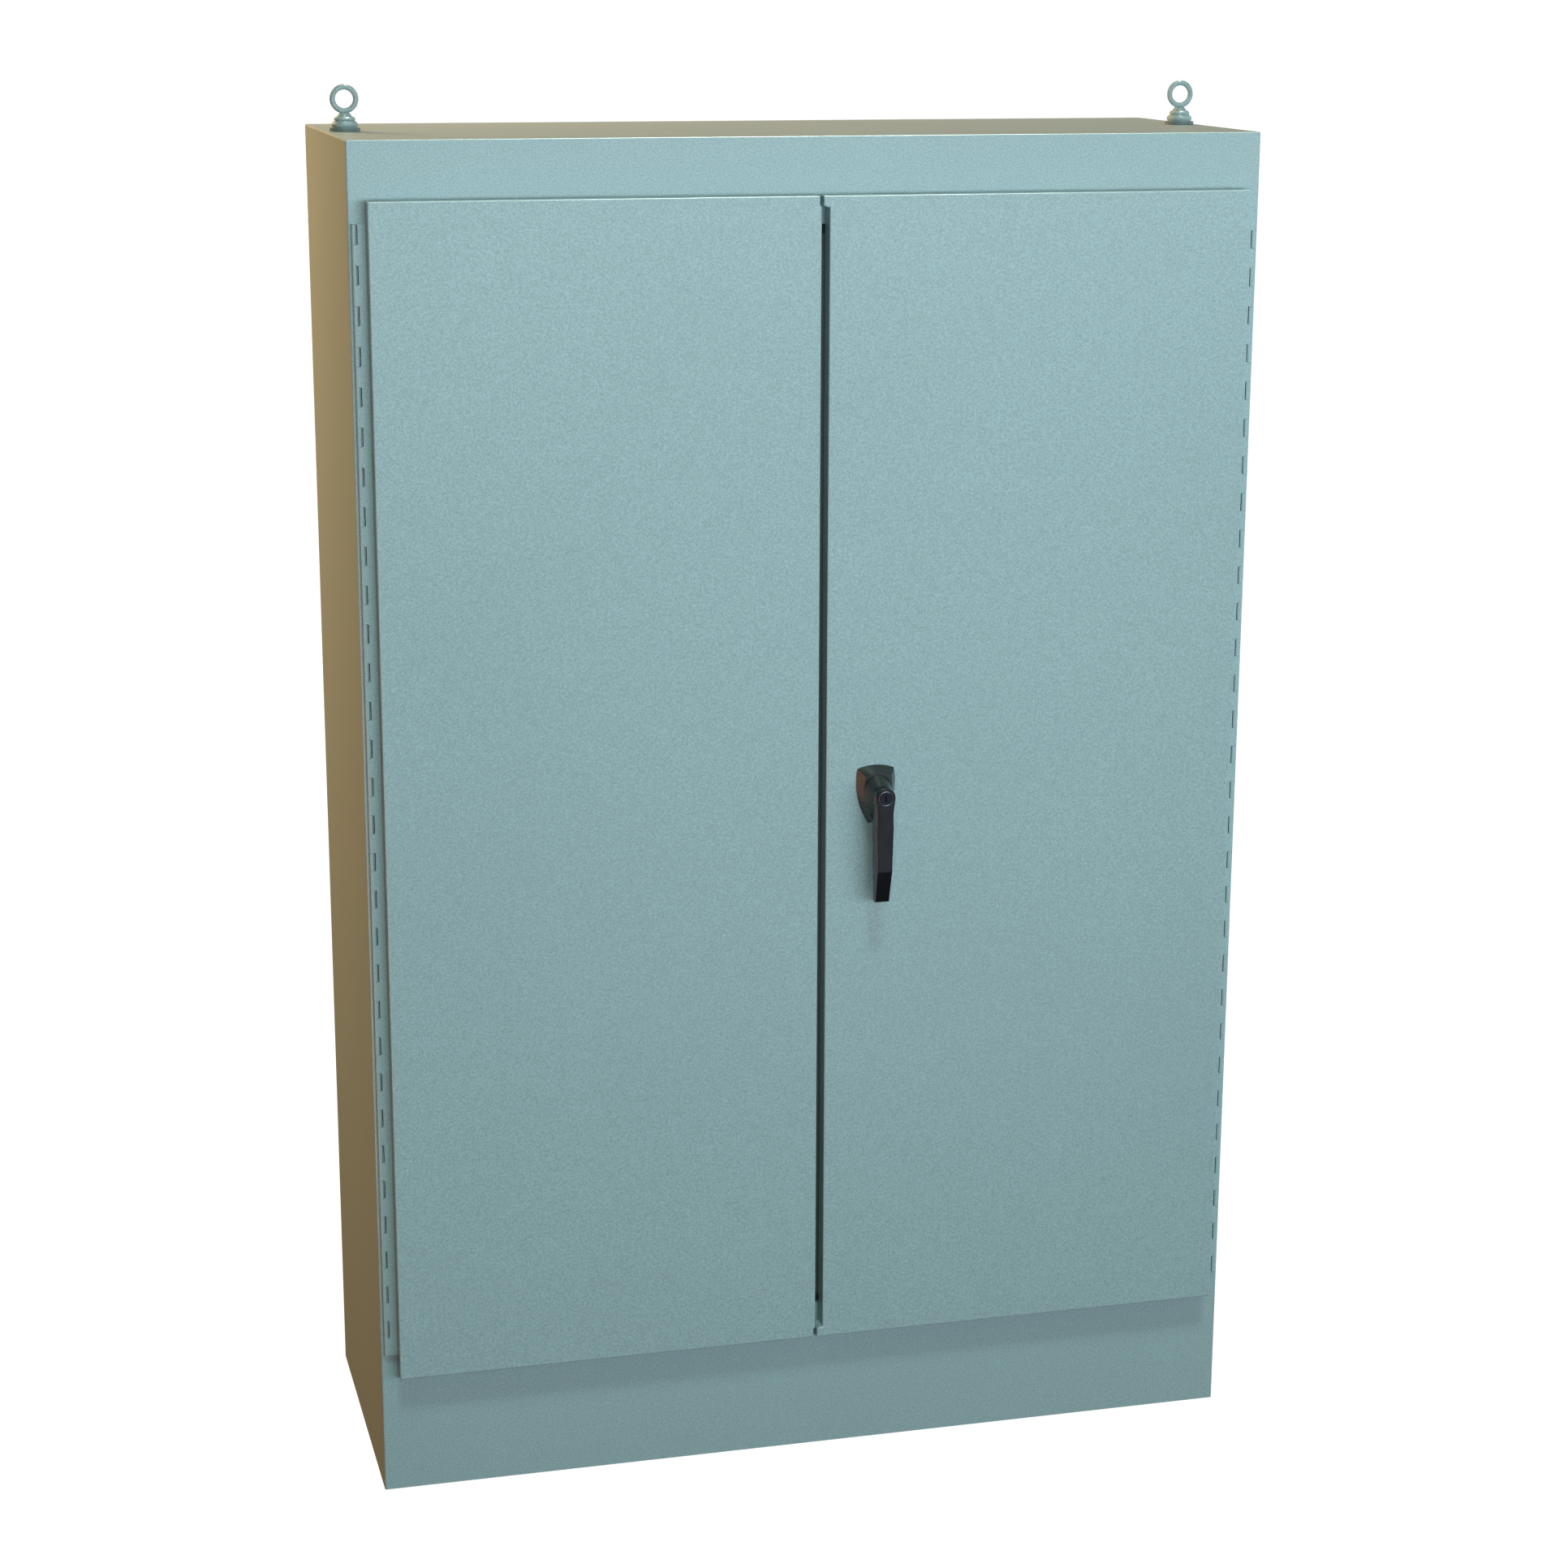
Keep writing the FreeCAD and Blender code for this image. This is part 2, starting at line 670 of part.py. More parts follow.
def door_pan(outline, x0, x1):
    """A folded door: a front skin with side walls and a return flange around a rear window."""
    skin = prism_y(outline, DOOR_FRONT, DOOR_REAR)
    corners = edges_where(skin, lambda b: near(b.XMin, b.XMax) and near(b.ZMin, b.ZMax)
                          and near(abs(b.XMin), DOOR_OUTER_X))
    skin = skin.makeFillet(BEND_R, corners)
    skin = skin.makeFillet(DOOR_RIM_R, front_rim(skin, DOOR_FRONT))
    cavity = box(x0 + DOOR_SHEET, x1 - DOOR_SHEET, DOOR_INNER, DOOR_REAR - DOOR_SHEET,
                 DOOR_Z0 + DOOR_SHEET, DOOR_Z1 - DOOR_SHEET)
    window = box(x0 + DOOR_RETURN, x1 - DOOR_RETURN, DOOR_REAR - DOOR_SHEET - CUT, DOOR_REAR + CUT,
                 DOOR_Z0 + DOOR_RETURN, DOOR_Z1 - DOOR_RETURN)
    return skin.cut(cavity).cut(window)


def left_door_panel():
    return door_pan(left_door_outline(), -DOOR_OUTER_X, LEFT_DOOR_CORNER)


def right_door_panel():
    pan = door_pan(right_door_outline(), RIGHT_DOOR_EDGE, DOOR_OUTER_X)
    return drill(pan, vec(PIVOT_X, DOOR_FRONT, PIVOT_Z), Y_AXIS, DOOR_SHEET + CUT, SLEEVE_R)


def door_gasket(x0, x1):
    z0 = DOOR_Z0 + GASKET_INSET_Z
    z1 = DOOR_Z1 - GASKET_INSET_Z
    w = GASKET_WIDTH
    outer = box(x0, x1, DOOR_REAR, GASKET_REAR, z0, z1)
    return outer.cut(box(x0 + w, x1 - w, DOOR_REAR - CUT, GASKET_REAR + CUT, z0 + w, z1 - w))


def left_door_gasket():
    return door_gasket(-GASKET_OUTER_X, LEFT_GASKET_FREE_X)


def right_door_gasket():
    return door_gasket(RIGHT_GASKET_FREE_X, GASKET_OUTER_X)


def stiffener(x):
    """A hat-section rail welded behind the door's skin."""
    z0 = DOOR_Z0 + STIFFENER_INSET_Z
    z1 = DOOR_Z1 - STIFFENER_INSET_Z
    half = STIFFENER_WIDTH / 2
    t = STIFFENER_SHEET
    crown = box(x - half, x + half, STIFFENER_REAR - t, STIFFENER_REAR, z0, z1)
    web = box(x - half, x - half + t, DOOR_INNER, STIFFENER_REAR, z0, z1)
    foot = box(x - half - STIFFENER_FOOT, x - half, DOOR_INNER, DOOR_INNER + t, z0, z1)
    far_web = moved(web, STIFFENER_WIDTH - t, 0, 0)
    far_foot = moved(foot, STIFFENER_WIDTH + STIFFENER_FOOT, 0, 0)
    return fuse([crown, web, far_web, foot, far_foot])


def left_door_stiffeners():
    return group([stiffener(-x) for x in STIFFENER_XS])


def right_door_stiffeners():
    return group([stiffener(x) for x in STIFFENER_XS])


def document_pocket():
    x0, x1, z0, z1 = POCKET
    w = POCKET_WALL
    outer = box(x0, x1, DOOR_INNER, POCKET_REAR, z0, z1)
    return outer.cut(box(x0 + w, x1 - w, DOOR_INNER + w, POCKET_REAR - w, z0 + w, z1 + CUT))


# Handle

def escutcheon_section(y, inset):
    """The outline of the escutcheon at depth y, drawn in by inset: arched top, bowed sides, narrow foot."""
    top = ESCUTCHEON_TOP - inset
    shoulder = top - ESCUTCHEON_SHOULDER
    tip = ESCUTCHEON_TIP + inset
    half_top = ESCUTCHEON_HALF_TOP - inset
    half_widest = ESCUTCHEON_HALF_WIDEST - inset
    half_tip = ESCUTCHEON_HALF_TIP - inset * 0.4

    def at(offset, z):
        return vec(PIVOT_X + offset, y, z)

    widest = ESCUTCHEON_WIDEST_Z
    top_arc = Part.Arc(at(-half_top, shoulder), at(0, top), at(half_top, shoulder)).toShape()
    right_arc = Part.Arc(at(half_top, shoulder), at(half_widest, widest), at(half_tip, tip)).toShape()
    base = Part.makeLine(at(half_tip, tip), at(-half_tip, tip))
    left_arc = Part.Arc(at(-half_tip, tip), at(-half_widest, widest), at(-half_top, shoulder)).toShape()
    return Part.Wire([top_arc, right_arc, base, left_arc])


def neck_section(y, half_width, rise, drop):
    """The outline of the neck at depth y: a rounded drop shape about the pivot."""
    half_top = half_width * 0.85
    half_foot = half_width * 0.35
    shoulder = rise * 0.55

    def at(offset, height):
        return vec(PIVOT_X + offset, y, PIVOT_Z + height)

    top_arc = Part.Arc(at(-half_top, shoulder), at(0, rise), at(half_top, shoulder)).toShape()
    right_arc = Part.Arc(at(half_top, shoulder), at(half_width, 0), at(half_foot, -drop)).toShape()
    base = Part.makeLine(at(half_foot, -drop), at(-half_foot, -drop))
    left_arc = Part.Arc(at(-half_foot, -drop), at(-half_width, 0), at(-half_top, shoulder)).toShape()
    return Part.Wire([top_arc, right_arc, base, left_arc])


def loft(first, second):
    return Part.makeLoft([first, second], True, True)


def handle_escutcheon():
    plate = loft(escutcheon_section(DOOR_FRONT, 0), escutcheon_section(PLATE_FRONT, 0))
    bevel = loft(escutcheon_section(PLATE_FRONT, 0), escutcheon_section(ESCUTCHEON_FACE, ESCUTCHEON_BEVEL))
    neck = loft(neck_section(ESCUTCHEON_FACE, 19.5, 24, 34), neck_section(NECK_FRONT, 12.5, 13, 15))
    sleeve = rod(vec(PIVOT_X, DOOR_FRONT, PIVOT_Z), Y_AXIS, SLEEVE_LENGTH, SLEEVE_R)
    body = fuse([plate, bevel, neck, sleeve])
    depth = DOOR_FRONT + SLEEVE_LENGTH + CUT - NECK_FRONT
    return drill(body, vec(PIVOT_X, NECK_FRONT, PIVOT_Z), Y_AXIS, depth, SPINDLE_BORE_R)


def lever_arm():
    """The side view and the front view of the lever, made into one body where both agree."""
    side_outline = [(HUB_FRONT, PIVOT_Z), (HUB_FRONT, LEVER_SLOPE_Z), (HUB_FRONT + 11, LEVER_Z + 2),
                    (HUB_FRONT + 15, LEVER_Z), (HUB_FRONT + 23, LEVER_Z + 1), (HUB_FRONT + 24, 868.0),
                    (HUB_FRONT + 24, 925.0), (HUB_BACK, 940.0), (HUB_BACK, PIVOT_Z)]
    side_view = prism_x(side_outline, PIVOT_X - 20, PIVOT_X + 20)
    half_widths = [(HUB_R, 0), (12.6, -10), (11.2, -23), (11.8, -46), (10.8, -80), (9.6, LEVER_Z - PIVOT_Z)]
    right = [(PIVOT_X + half, PIVOT_Z + z) for half, z in half_widths]
    left = [(PIVOT_X - half, PIVOT_Z + z) for half, z in reversed(half_widths)]
    return side_view.common(prism_y(right + left, HUB_FRONT - CUT, DOOR_FRONT))


def lever_boss():
    """The low raised panel that runs from the key down the front of the lever."""
    half_widths = [(8.5, 0), (8.0, -38), (4.5, -45)]
    right = [(PIVOT_X + half, PIVOT_Z + z) for half, z in half_widths]
    left = [(PIVOT_X - half, PIVOT_Z + z) for half, z in reversed(half_widths)]
    front = HUB_FRONT - BOSS_RISE
    panel = prism_y(right + left, front, HUB_FRONT + BOSS_EMBED)
    collar = rod(vec(PIVOT_X, front, PIVOT_Z), Y_AXIS, BOSS_RISE + BOSS_EMBED, HUB_R - BOSS_RIM)
    return fuse([panel, collar])


def lever_handle():
    hub = rod(vec(PIVOT_X, HUB_FRONT, PIVOT_Z), Y_AXIS, HUB_BACK - HUB_FRONT, HUB_R)
    body = fuse([lever_arm(), hub])
    front_edges = edges_where(body, lambda b: b.YMax < HUB_FRONT + 16 and b.YMin < HUB_FRONT + 0.5)
    body = body.makeFillet(LEVER_EDGE_R, front_edges)
    spindle_end = CAM_Y + CAM_THICK
    spindle = rod(vec(PIVOT_X, HUB_BACK, PIVOT_Z), Y_AXIS, spindle_end - HUB_BACK, SPINDLE_R)
    handle = fuse([body, lever_boss(), spindle])
    return drill(handle, vec(PIVOT_X, HUB_FRONT, PIVOT_Z), Y_AXIS, KEY_BORE_DEPTH, KEY_BORE_R)


def key_plug():
    width, height, depth = KEY_SLOT
    front = HUB_FRONT - KEY_RISE
    plug = rod(vec(PIVOT_X, front, PIVOT_Z), Y_AXIS, KEY_LENGTH, KEY_R)
    slot = box(PIVOT_X - width / 2, PIVOT_X + width / 2, front - CUT, front + depth,
               PIVOT_Z - height / 2, PIVOT_Z + height / 2)
    return plug.cut(slot)


# Latch behind the right door

def latch_bracket():
    half = BRACKET_HALF
    front = BRACKET_REAR - BRACKET_SHEET
    x0, x1 = PIVOT_X - half, PIVOT_X + half
    crown = box(x0, x1, front, BRACKET_REAR, PIVOT_Z - half, PIVOT_Z + half)
    leg = box(x0, x1, DOOR_INNER, front, PIVOT_Z + half - BRACKET_SHEET, PIVOT_Z + half)
    low_leg = moved(leg, 0, 0, BRACKET_SHEET - 2 * half)
    bracket = fuse([crown, leg, low_leg])
    return drill(bracket, vec(PIVOT_X, front, PIVOT_Z), Y_AXIS, BRACKET_SHEET + CUT, SPINDLE_BORE_R)


def cam_pins():
    """The upper rod's pin at the upper left of the pivot, and the lower rod's opposite."""
    reach = CAM_PIN_OFFSET * math.cos(math.pi / 4)
    return [(PIVOT_X - reach, PIVOT_Z + reach), (PIVOT_X + reach, PIVOT_Z - reach)]


def latch_cam():
    disc = rod(vec(PIVOT_X, CAM_Y, PIVOT_Z), Y_AXIS, CAM_THICK, CAM_PIN_OFFSET + CAM_RIM)
    disc = drill(disc, vec(PIVOT_X, CAM_Y, PIVOT_Z), Y_AXIS, CAM_THICK + CUT, SPINDLE_R)
    length = ROD_Y + ROD_THICK + 2 - CAM_Y
    pins = [rod(vec(x, CAM_Y, z), Y_AXIS, length, CAM_PIN_R) for x, z in cam_pins()]
    return fuse([disc] + pins)


def latch_rod(pin_z, rod_x, far_z):
    """A flat bar from the cam to the door's edge, with a cross slot that the cam's pin runs in."""
    half = ROD_WIDTH / 2
    near_z = pin_z - ROD_END if far_z > pin_z else pin_z + ROD_END
    y0, y1 = ROD_Y, ROD_Y + ROD_THICK
    bar = box(rod_x - half, rod_x + half, y0, y1, min(near_z, far_z), max(near_z, far_z))
    slot_x, slot_z = ROD_SLOT_WIDTH / 2, ROD_SLOT_HEIGHT / 2
    slot = box(rod_x - slot_x, rod_x + slot_x, y0 - CUT, y1 + CUT, pin_z - slot_z, pin_z + slot_z)
    return bar.cut(slot)


def upper_latch_rod():
    return latch_rod(cam_pins()[0][1], UPPER_ROD_X, ROD_Z1)


def lower_latch_rod():
    return latch_rod(cam_pins()[1][1], LOWER_ROD_X, ROD_Z0)


def rod_guide(rod_x, z):
    half = ROD_WIDTH / 2
    outer = half + ROD_GUIDE_WALL
    gap = GUIDE_GAP
    rod_back = ROD_Y + ROD_THICK
    block = box(rod_x - outer, rod_x + outer, DOOR_INNER, rod_back + ROD_GUIDE_BACK, z, z + ROD_GUIDE_H)
    window = box(rod_x - half - gap, rod_x + half + gap, ROD_Y - gap, rod_back + gap,
                 z - CUT, z + ROD_GUIDE_H + CUT)
    return block.cut(window)


def rod_guides():
    upper = [rod_guide(UPPER_ROD_X, z) for z in UPPER_GUIDE_Z]
    lower = [rod_guide(LOWER_ROD_X, z) for z in LOWER_GUIDE_Z]
    return group(upper + lower)


# Flush bolts behind the left door

def flush_bolt(tip_z, direction):
    start = tip_z if direction < 0 else tip_z - BOLT_LENGTH
    shaft = rod(vec(BOLT_X, BOLT_Y, start), Z_AXIS, BOLT_LENGTH, BOLT_R)
    grip_z = tip_z - direction * BOLT_GRIP_AT
    grip = rod(vec(BOLT_X, BOLT_Y, grip_z), Y_AXIS, BOLT_GRIP_LENGTH, BOLT_GRIP_R)
    knob = rod(vec(BOLT_X, BOLT_Y + BOLT_GRIP_LENGTH, grip_z), Y_AXIS, BOLT_KNOB_H, BOLT_KNOB_R)
    return fuse([shaft, grip, knob])


def upper_flush_bolt():
    return flush_bolt(OPENING_Z1 - BOLT_GAP, 1)


def lower_flush_bolt():
    return flush_bolt(OPENING_Z0 + BOLT_GAP, -1)


def bolt_guide(z):
    half = BOLT_GUIDE_HALF
    block = box(BOLT_X - half, BOLT_X + half, DOOR_INNER, BOLT_Y + half, z, z + BOLT_GUIDE_H)
    return drill(block, vec(BOLT_X, BOLT_Y, z), Z_AXIS, BOLT_GUIDE_H + CUT, BOLT_BORE_R)


def bolt_guides():
    return group([bolt_guide(z) for z in BOLT_GUIDE_Z])


# Mounting panel

def stud_points():
    return [(x, z) for x in (-STUD_X, STUD_X) for z in STUD_Z]


def mounting_panel():
    plate = box(-PANEL_X, PANEL_X, PANEL_FRONT, PANEL_BACK, PANEL_Z0, PANEL_Z1)
    flange = box(-PANEL_X, -PANEL_X + PANEL_SHEET, PANEL_BACK, PANEL_BACK + PANEL_FLANGE, PANEL_Z0, PANEL_Z1)
    panel = fuse([plate, flange, mirror_x(flange)])
    for x, z in stud_points():
        panel = drill(panel, vec(x, PANEL_FRONT, z), Y_AXIS, PANEL_SHEET + CUT, STUD_THREAD_R)
    return panel


def panel_studs():
    studs = []
    thread_y = PANEL_FRONT - STUD_REACH
    for x, z in stud_points():
        collar = rod(vec(x, PANEL_BACK, z), Y_AXIS, BACK - SHEET - PANEL_BACK, STUD_R)
        thread = rod(vec(x, thread_y, z), Y_AXIS, PANEL_BACK - thread_y, STUD_THREAD_R)
        studs.append(fuse([collar, thread]))
    return group(studs)


def panel_nuts():
    nuts = []
    front = PANEL_FRONT - PANEL_NUT_H
    for x, z in stud_points():
        nut = prism_y(hexagon(x, z, PANEL_NUT_W), front, PANEL_FRONT)
        nuts.append(drill(nut, vec(x, front, z), Y_AXIS, PANEL_NUT_H + CUT, STUD_THREAD_R))
    return group(nuts)


# Switching section

def switch_base_plate():
    x0, x1, z0, z1 = BASE_PLATE
    return box(x0, x1, BASE_FRONT, PANEL_FRONT, z0, z1)


def case_centre(z0):
    return z0 + CASE_H / 2


def switch_case(z0):
    """One switching case: a raised front between two terminal steps, with a slot for its toggle."""
    z1 = z0 + CASE_H
    centre_z = case_centre(z0)
    body = box(CASE_X0, CASE_X1, CASE_STEP, BASE_FRONT, z0, z1)
    front = box(CASE_X0, CASE_X1, CASE_FRONT, CASE_STEP, z0 + TERMINAL_H, z1 - TERMINAL_H)
    case = fuse([body, front])
    case = case.makeFillet(CASE_EDGE_R, front_rim(case, CASE_FRONT))
    slot = box(TOGGLE_X - SLOT_HALF_X, TOGGLE_X + SLOT_HALF_X, CASE_FRONT - CUT, TOGGLE_Y + SLOT_BEHIND_PIN,
               centre_z - SLOT_HALF_Z, centre_z + SLOT_HALF_Z)
    bore_start = vec(TOGGLE_X - TOGGLE_BORE_HALF, TOGGLE_Y, centre_z)
    case = case.cut(slot).cut(rod(bore_start, X_AXIS, 2 * TOGGLE_BORE_HALF, TOGGLE_PIN_BORE_R))
    groove_height = TERMINAL_H - BARRIER_LEDGE
    for x in (POLES_X[0] + POLE_PITCH / 2, POLES_X[1] + POLE_PITCH / 2):
        for low in (z0 - CUT, z1 - groove_height):
            groove = box(x - BARRIER_HALF, x + BARRIER_HALF, CASE_STEP - CUT, CASE_STEP + BARRIER_DEPTH,
                         low, low + groove_height + CUT)
            case = case.cut(groove)
    return case


def normal_switch_case():
    return switch_case(NORMAL_Z0)


def emergency_switch_case():
    return switch_case(EMERGENCY_Z0)


def toggle(centre_z):
    tip_y = TOGGLE_Y - TOGGLE_LEN
    hub = rod(vec(TOGGLE_X - TOGGLE_HALF_X, TOGGLE_Y, centre_z), X_AXIS, 2 * TOGGLE_HALF_X, TOGGLE_HUB_R)
    pin = rod(vec(TOGGLE_X - TOGGLE_PIN_HALF, TOGGLE_Y, centre_z), X_AXIS, 2 * TOGGLE_PIN_HALF, TOGGLE_PIN_R)
    bar = box(TOGGLE_X - TOGGLE_HALF_X, TOGGLE_X + TOGGLE_HALF_X, tip_y, TOGGLE_Y,
              centre_z - TOGGLE_HALF_Z, centre_z + TOGGLE_HALF_Z)
    roller = rod(vec(TOGGLE_X - ROLLER_HALF, tip_y, centre_z), X_AXIS, 2 * ROLLER_HALF, ROLLER_R)
    lever = fuse([hub, pin, bar, roller])
    return turned(lever, vec(TOGGLE_X, TOGGLE_Y, centre_z), X_AXIS, -TOGGLE_SWING)


def normal_toggle():
    return toggle(case_centre(NORMAL_Z0))


def emergency_toggle():
    return toggle(case_centre(EMERGENCY_Z0))


def tooth_angle(radius):
    """Half the angle that a tooth fills at this radius, along an involute flank."""
    base = GEAR_R * math.cos(PRESSURE_ANGLE)
    roll = math.acos(base / max(radius, base))
    involute = math.tan(roll) - roll
    pitch_involute = math.tan(PRESSURE_ANGLE) - PRESSURE_ANGLE
    half_at_pitch = (RACK_PITCH / 2 - GEAR_BACKLASH) / 2 / GEAR_R
    return half_at_pitch + pitch_involute - involute


def pinion_outline():
    root = GEAR_R - GEAR_DEDENDUM
    tip = GEAR_R + GEAR_ADDENDUM
    radii = [root + (tip - root) * i / FLANK_STEPS for i in range(FLANK_STEPS + 1)]
    outline = []
    for tooth in range(GEAR_TEETH):
        centre = 2 * math.pi * (tooth + 0.5) / GEAR_TEETH
        rising = [(r, centre - tooth_angle(r)) for r in radii]
        falling = [(r, centre + tooth_angle(r)) for r in reversed(radii)]
        outline += [(PINION_X + r * math.cos(a), PINION_Z + r * math.sin(a)) for r, a in rising + falling]
    return outline


def operator_pinion():
    gear = prism_y(pinion_outline(), SLIDE_Y0, SLIDE_Y1)
    shaft = rod(vec(PINION_X, SLIDE_Y1, PINION_Z), Y_AXIS, MOTOR_Y + SHAFT_DEPTH - SLIDE_Y1, SHAFT_R)
    return fuse([gear, shaft])


def rack_tooth(z):
    pitch_x = PINION_X - GEAR_R
    root_x = pitch_x - GEAR_DEDENDUM - RACK_EMBED
    tip_x = pitch_x + GEAR_ADDENDUM
    half = (RACK_PITCH / 2 - GEAR_BACKLASH) / 2
    slope = math.tan(PRESSURE_ANGLE)
    root_half = half + GEAR_DEDENDUM * slope
    tip_half = half - GEAR_ADDENDUM * slope
    outline = [(root_x, z - root_half), (tip_x, z - tip_half), (tip_x, z + tip_half), (root_x, z + root_half)]
    return prism_y(outline, SLIDE_Y0, SLIDE_Y1)


def transfer_slide():
    pieces = [box(SLIDE_X0, SLIDE_X1, SLIDE_Y0, SLIDE_Y1, SLIDE_Z0, SLIDE_Z1)]
    lift = TOGGLE_LEN * math.sin(math.radians(TOGGLE_SWING))
    for z0 in (NORMAL_Z0, EMERGENCY_Z0):
        roller_z = case_centre(z0) + lift
        for prong_z in (roller_z + FORK_GAP, roller_z - FORK_GAP - FORK_THICK):
            pieces.append(box(FORK_X0, SLIDE_X0 + CUT, FORK_Y0, FORK_Y1, prong_z, prong_z + FORK_THICK))
    for i in range(-RACK_TEETH_BELOW, RACK_TEETH_ABOVE + 1):
        pieces.append(rack_tooth(PINION_Z + i * RACK_PITCH))
    return fuse(pieces)


def slide_guide(z):
    gap = GUIDE_GAP
    block = box(SLIDE_X0 - SLIDE_GUIDE_WALL, SLIDE_X1 + SLIDE_GUIDE_WALL, SLIDE_GUIDE_Y0, CASE_STEP,
                z, z + SLIDE_GUIDE_H)
    window = box(SLIDE_X0 - gap, SLIDE_X1 + gap, SLIDE_Y0 - gap, SLIDE_Y1 + gap,
                 z - CUT, z + SLIDE_GUIDE_H + CUT)
    return block.cut(window)


def slide_guides():
    return group([slide_guide(z) for z in SLIDE_GUIDE_Z])


def operator_motor():
    t = MOTOR_SHEET
    x = MOTOR_LEG_X
    z0, z1 = PINION_Z - MOTOR_HALF, PINION_Z + MOTOR_HALF
    body = rod(vec(PINION_X, MOTOR_Y + t, PINION_Z), Y_AXIS, MOTOR_LENGTH, MOTOR_R)
    flange = box(PINION_X - MOTOR_R - t, x, MOTOR_Y, MOTOR_Y + t, z0, z1)
    leg = box(x - t, x, MOTOR_Y, BASE_FRONT, z0, z1)
    foot = box(x, MOTOR_FOOT_X, BASE_FRONT - t, BASE_FRONT, z0, z1)
    motor = fuse([body, flange, leg, foot])
    return drill(motor, vec(PINION_X, MOTOR_Y, PINION_Z), Y_AXIS, SHAFT_DEPTH + CUT, SHAFT_BORE_R)


def load_busbars():
    """One bar for each pole, which joins the load terminals of the two cases."""
    z0 = EMERGENCY_Z0 + CASE_H
    half = BUSBAR_W / 2
    return group([box(x - half, x + half, BUSBAR_Y0, BUSBAR_Y1, z0, NORMAL_Z0) for x in POLES_X])


def cable_lug(x, z0, y1):
    block = box(x - LUG_W / 2, x + LUG_W / 2, LUG_FRONT, y1, z0, z0 + LUG_H)
    block = drill(block, vec(x, (LUG_FRONT + y1) / 2, z0), Z_AXIS, LUG_H + CUT, LUG_BORE_R)
    return drill(block, vec(x, LUG_FRONT, z0 + LUG_H / 2), Y_AXIS, LUG_SCREW_DEPTH, LUG_SCREW_R)


def cable_lugs():
    levels = (NORMAL_Z0 + CASE_H, EMERGENCY_Z0 - LUG_H, LOAD_LUG_Z)
    return group([cable_lug(x, z, BUSBAR_Y0) for x in POLES_X for z in levels])


# Control section

def controller_case():
    x0, x1, y0, y1, z0, z1 = CONTROLLER
    case = box(x0, x1, y0, y1, z0, z1)
    case = case.makeFillet(CONTROLLER_EDGE_R, front_rim(case, y0))
    recess_back = y0 + DISPLAY_SINK + DISPLAY_THICK
    case = case.cut(box(x0 + DISPLAY_INSET_X, x1 - DISPLAY_INSET_X, y0 - CUT, recess_back, *DISPLAY_Z))
    case = drill(case, vec(TEST_X, y0, TEST_Z), Y_AXIS, TEST_BORE_DEPTH, TEST_BORE_R)
    return drill(case, vec(SELECTOR_X, y0, SELECTOR_Z), Y_AXIS, SELECTOR_BORE_DEPTH, SELECTOR_BORE_R)


def controller_display():
    x0, x1, y0 = CONTROLLER[:3]
    front = y0 + DISPLAY_SINK
    return box(x0 + DISPLAY_INSET_X, x1 - DISPLAY_INSET_X, front, front + DISPLAY_THICK, *DISPLAY_Z)


def test_button():
    front = CONTROLLER[2] - TEST_RISE
    cap = rod(vec(TEST_X, front, TEST_Z), Y_AXIS, TEST_LENGTH, TEST_R)
    return cap.makeFillet(1.5, front_rim(cap, front))


def mode_selector():
    y0 = CONTROLLER[2]
    skirt_y = y0 - SELECTOR_GAP - SELECTOR_SKIRT_H
    x, z = SELECTOR_X, SELECTOR_Z
    skirt = rod(vec(x, skirt_y, z), Y_AXIS, SELECTOR_SKIRT_H, SELECTOR_SKIRT_R)
    grip = box(x - SELECTOR_GRIP_HALF_X, x + SELECTOR_GRIP_HALF_X, y0 - SELECTOR_GRIP_RISE, skirt_y + CUT,
               z - SELECTOR_GRIP_HALF_Z, z + SELECTOR_GRIP_HALF_Z)
    stem = rod(vec(x, y0 - SELECTOR_GAP, z), Y_AXIS, SELECTOR_BORE_DEPTH - CUT, SELECTOR_STEM_R)
    return fuse([skirt, grip, stem])


def control_transformers():
    transformers = []
    for x in TRANSFORMER_XS:
        transformers.append(moved(fuse([box(*CORE), box(*COIL), box(*FOOT)]), x, 0, 0))
    return group(transformers)


def din_rail():
    x0, x1 = RAIL_X
    t = RAIL_SHEET
    front = PANEL_FRONT - RAIL_DEPTH
    web = box(x0, x1, PANEL_FRONT - t, PANEL_FRONT, RAIL_Z - RAIL_WEB_HALF, RAIL_Z + RAIL_WEB_HALF)
    wall_z = RAIL_Z + RAIL_WEB_HALF - t
    wall = box(x0, x1, front, PANEL_FRONT, wall_z, wall_z + t)
    brim = box(x0, x1, front, front + t, wall_z, RAIL_Z + RAIL_HALF)
    lower = turned(group([wall, brim]), vec((x0 + x1) / 2, 0, RAIL_Z), Y_AXIS, 180)
    return fuse([web, wall, brim] + lower.Solids)


def rail_module(x, width, y0, height):
    """A module clipped on the rail, with a step along the top of its front for its wires."""
    top = RAIL_Z + height / 2
    body = box(x, x + width - MODULE_GAP, y0, PANEL_FRONT - RAIL_DEPTH, top - height, top)
    return body.cut(box(x - CUT, x + width, y0 - CUT, y0 + MODULE_NOTCH_D, top - MODULE_NOTCH_H, top + CUT))


def terminal_blocks():
    return group([rail_module(TERMINAL_X + TERMINAL_PITCH * i, TERMINAL_PITCH, 132.0, 60.0)
                  for i in range(TERMINAL_COUNT)])


def fuse_holders():
    return group([rail_module(FUSE_X + FUSE_PITCH * i, FUSE_PITCH, 118.0, 80.0) for i in range(FUSE_COUNT)])


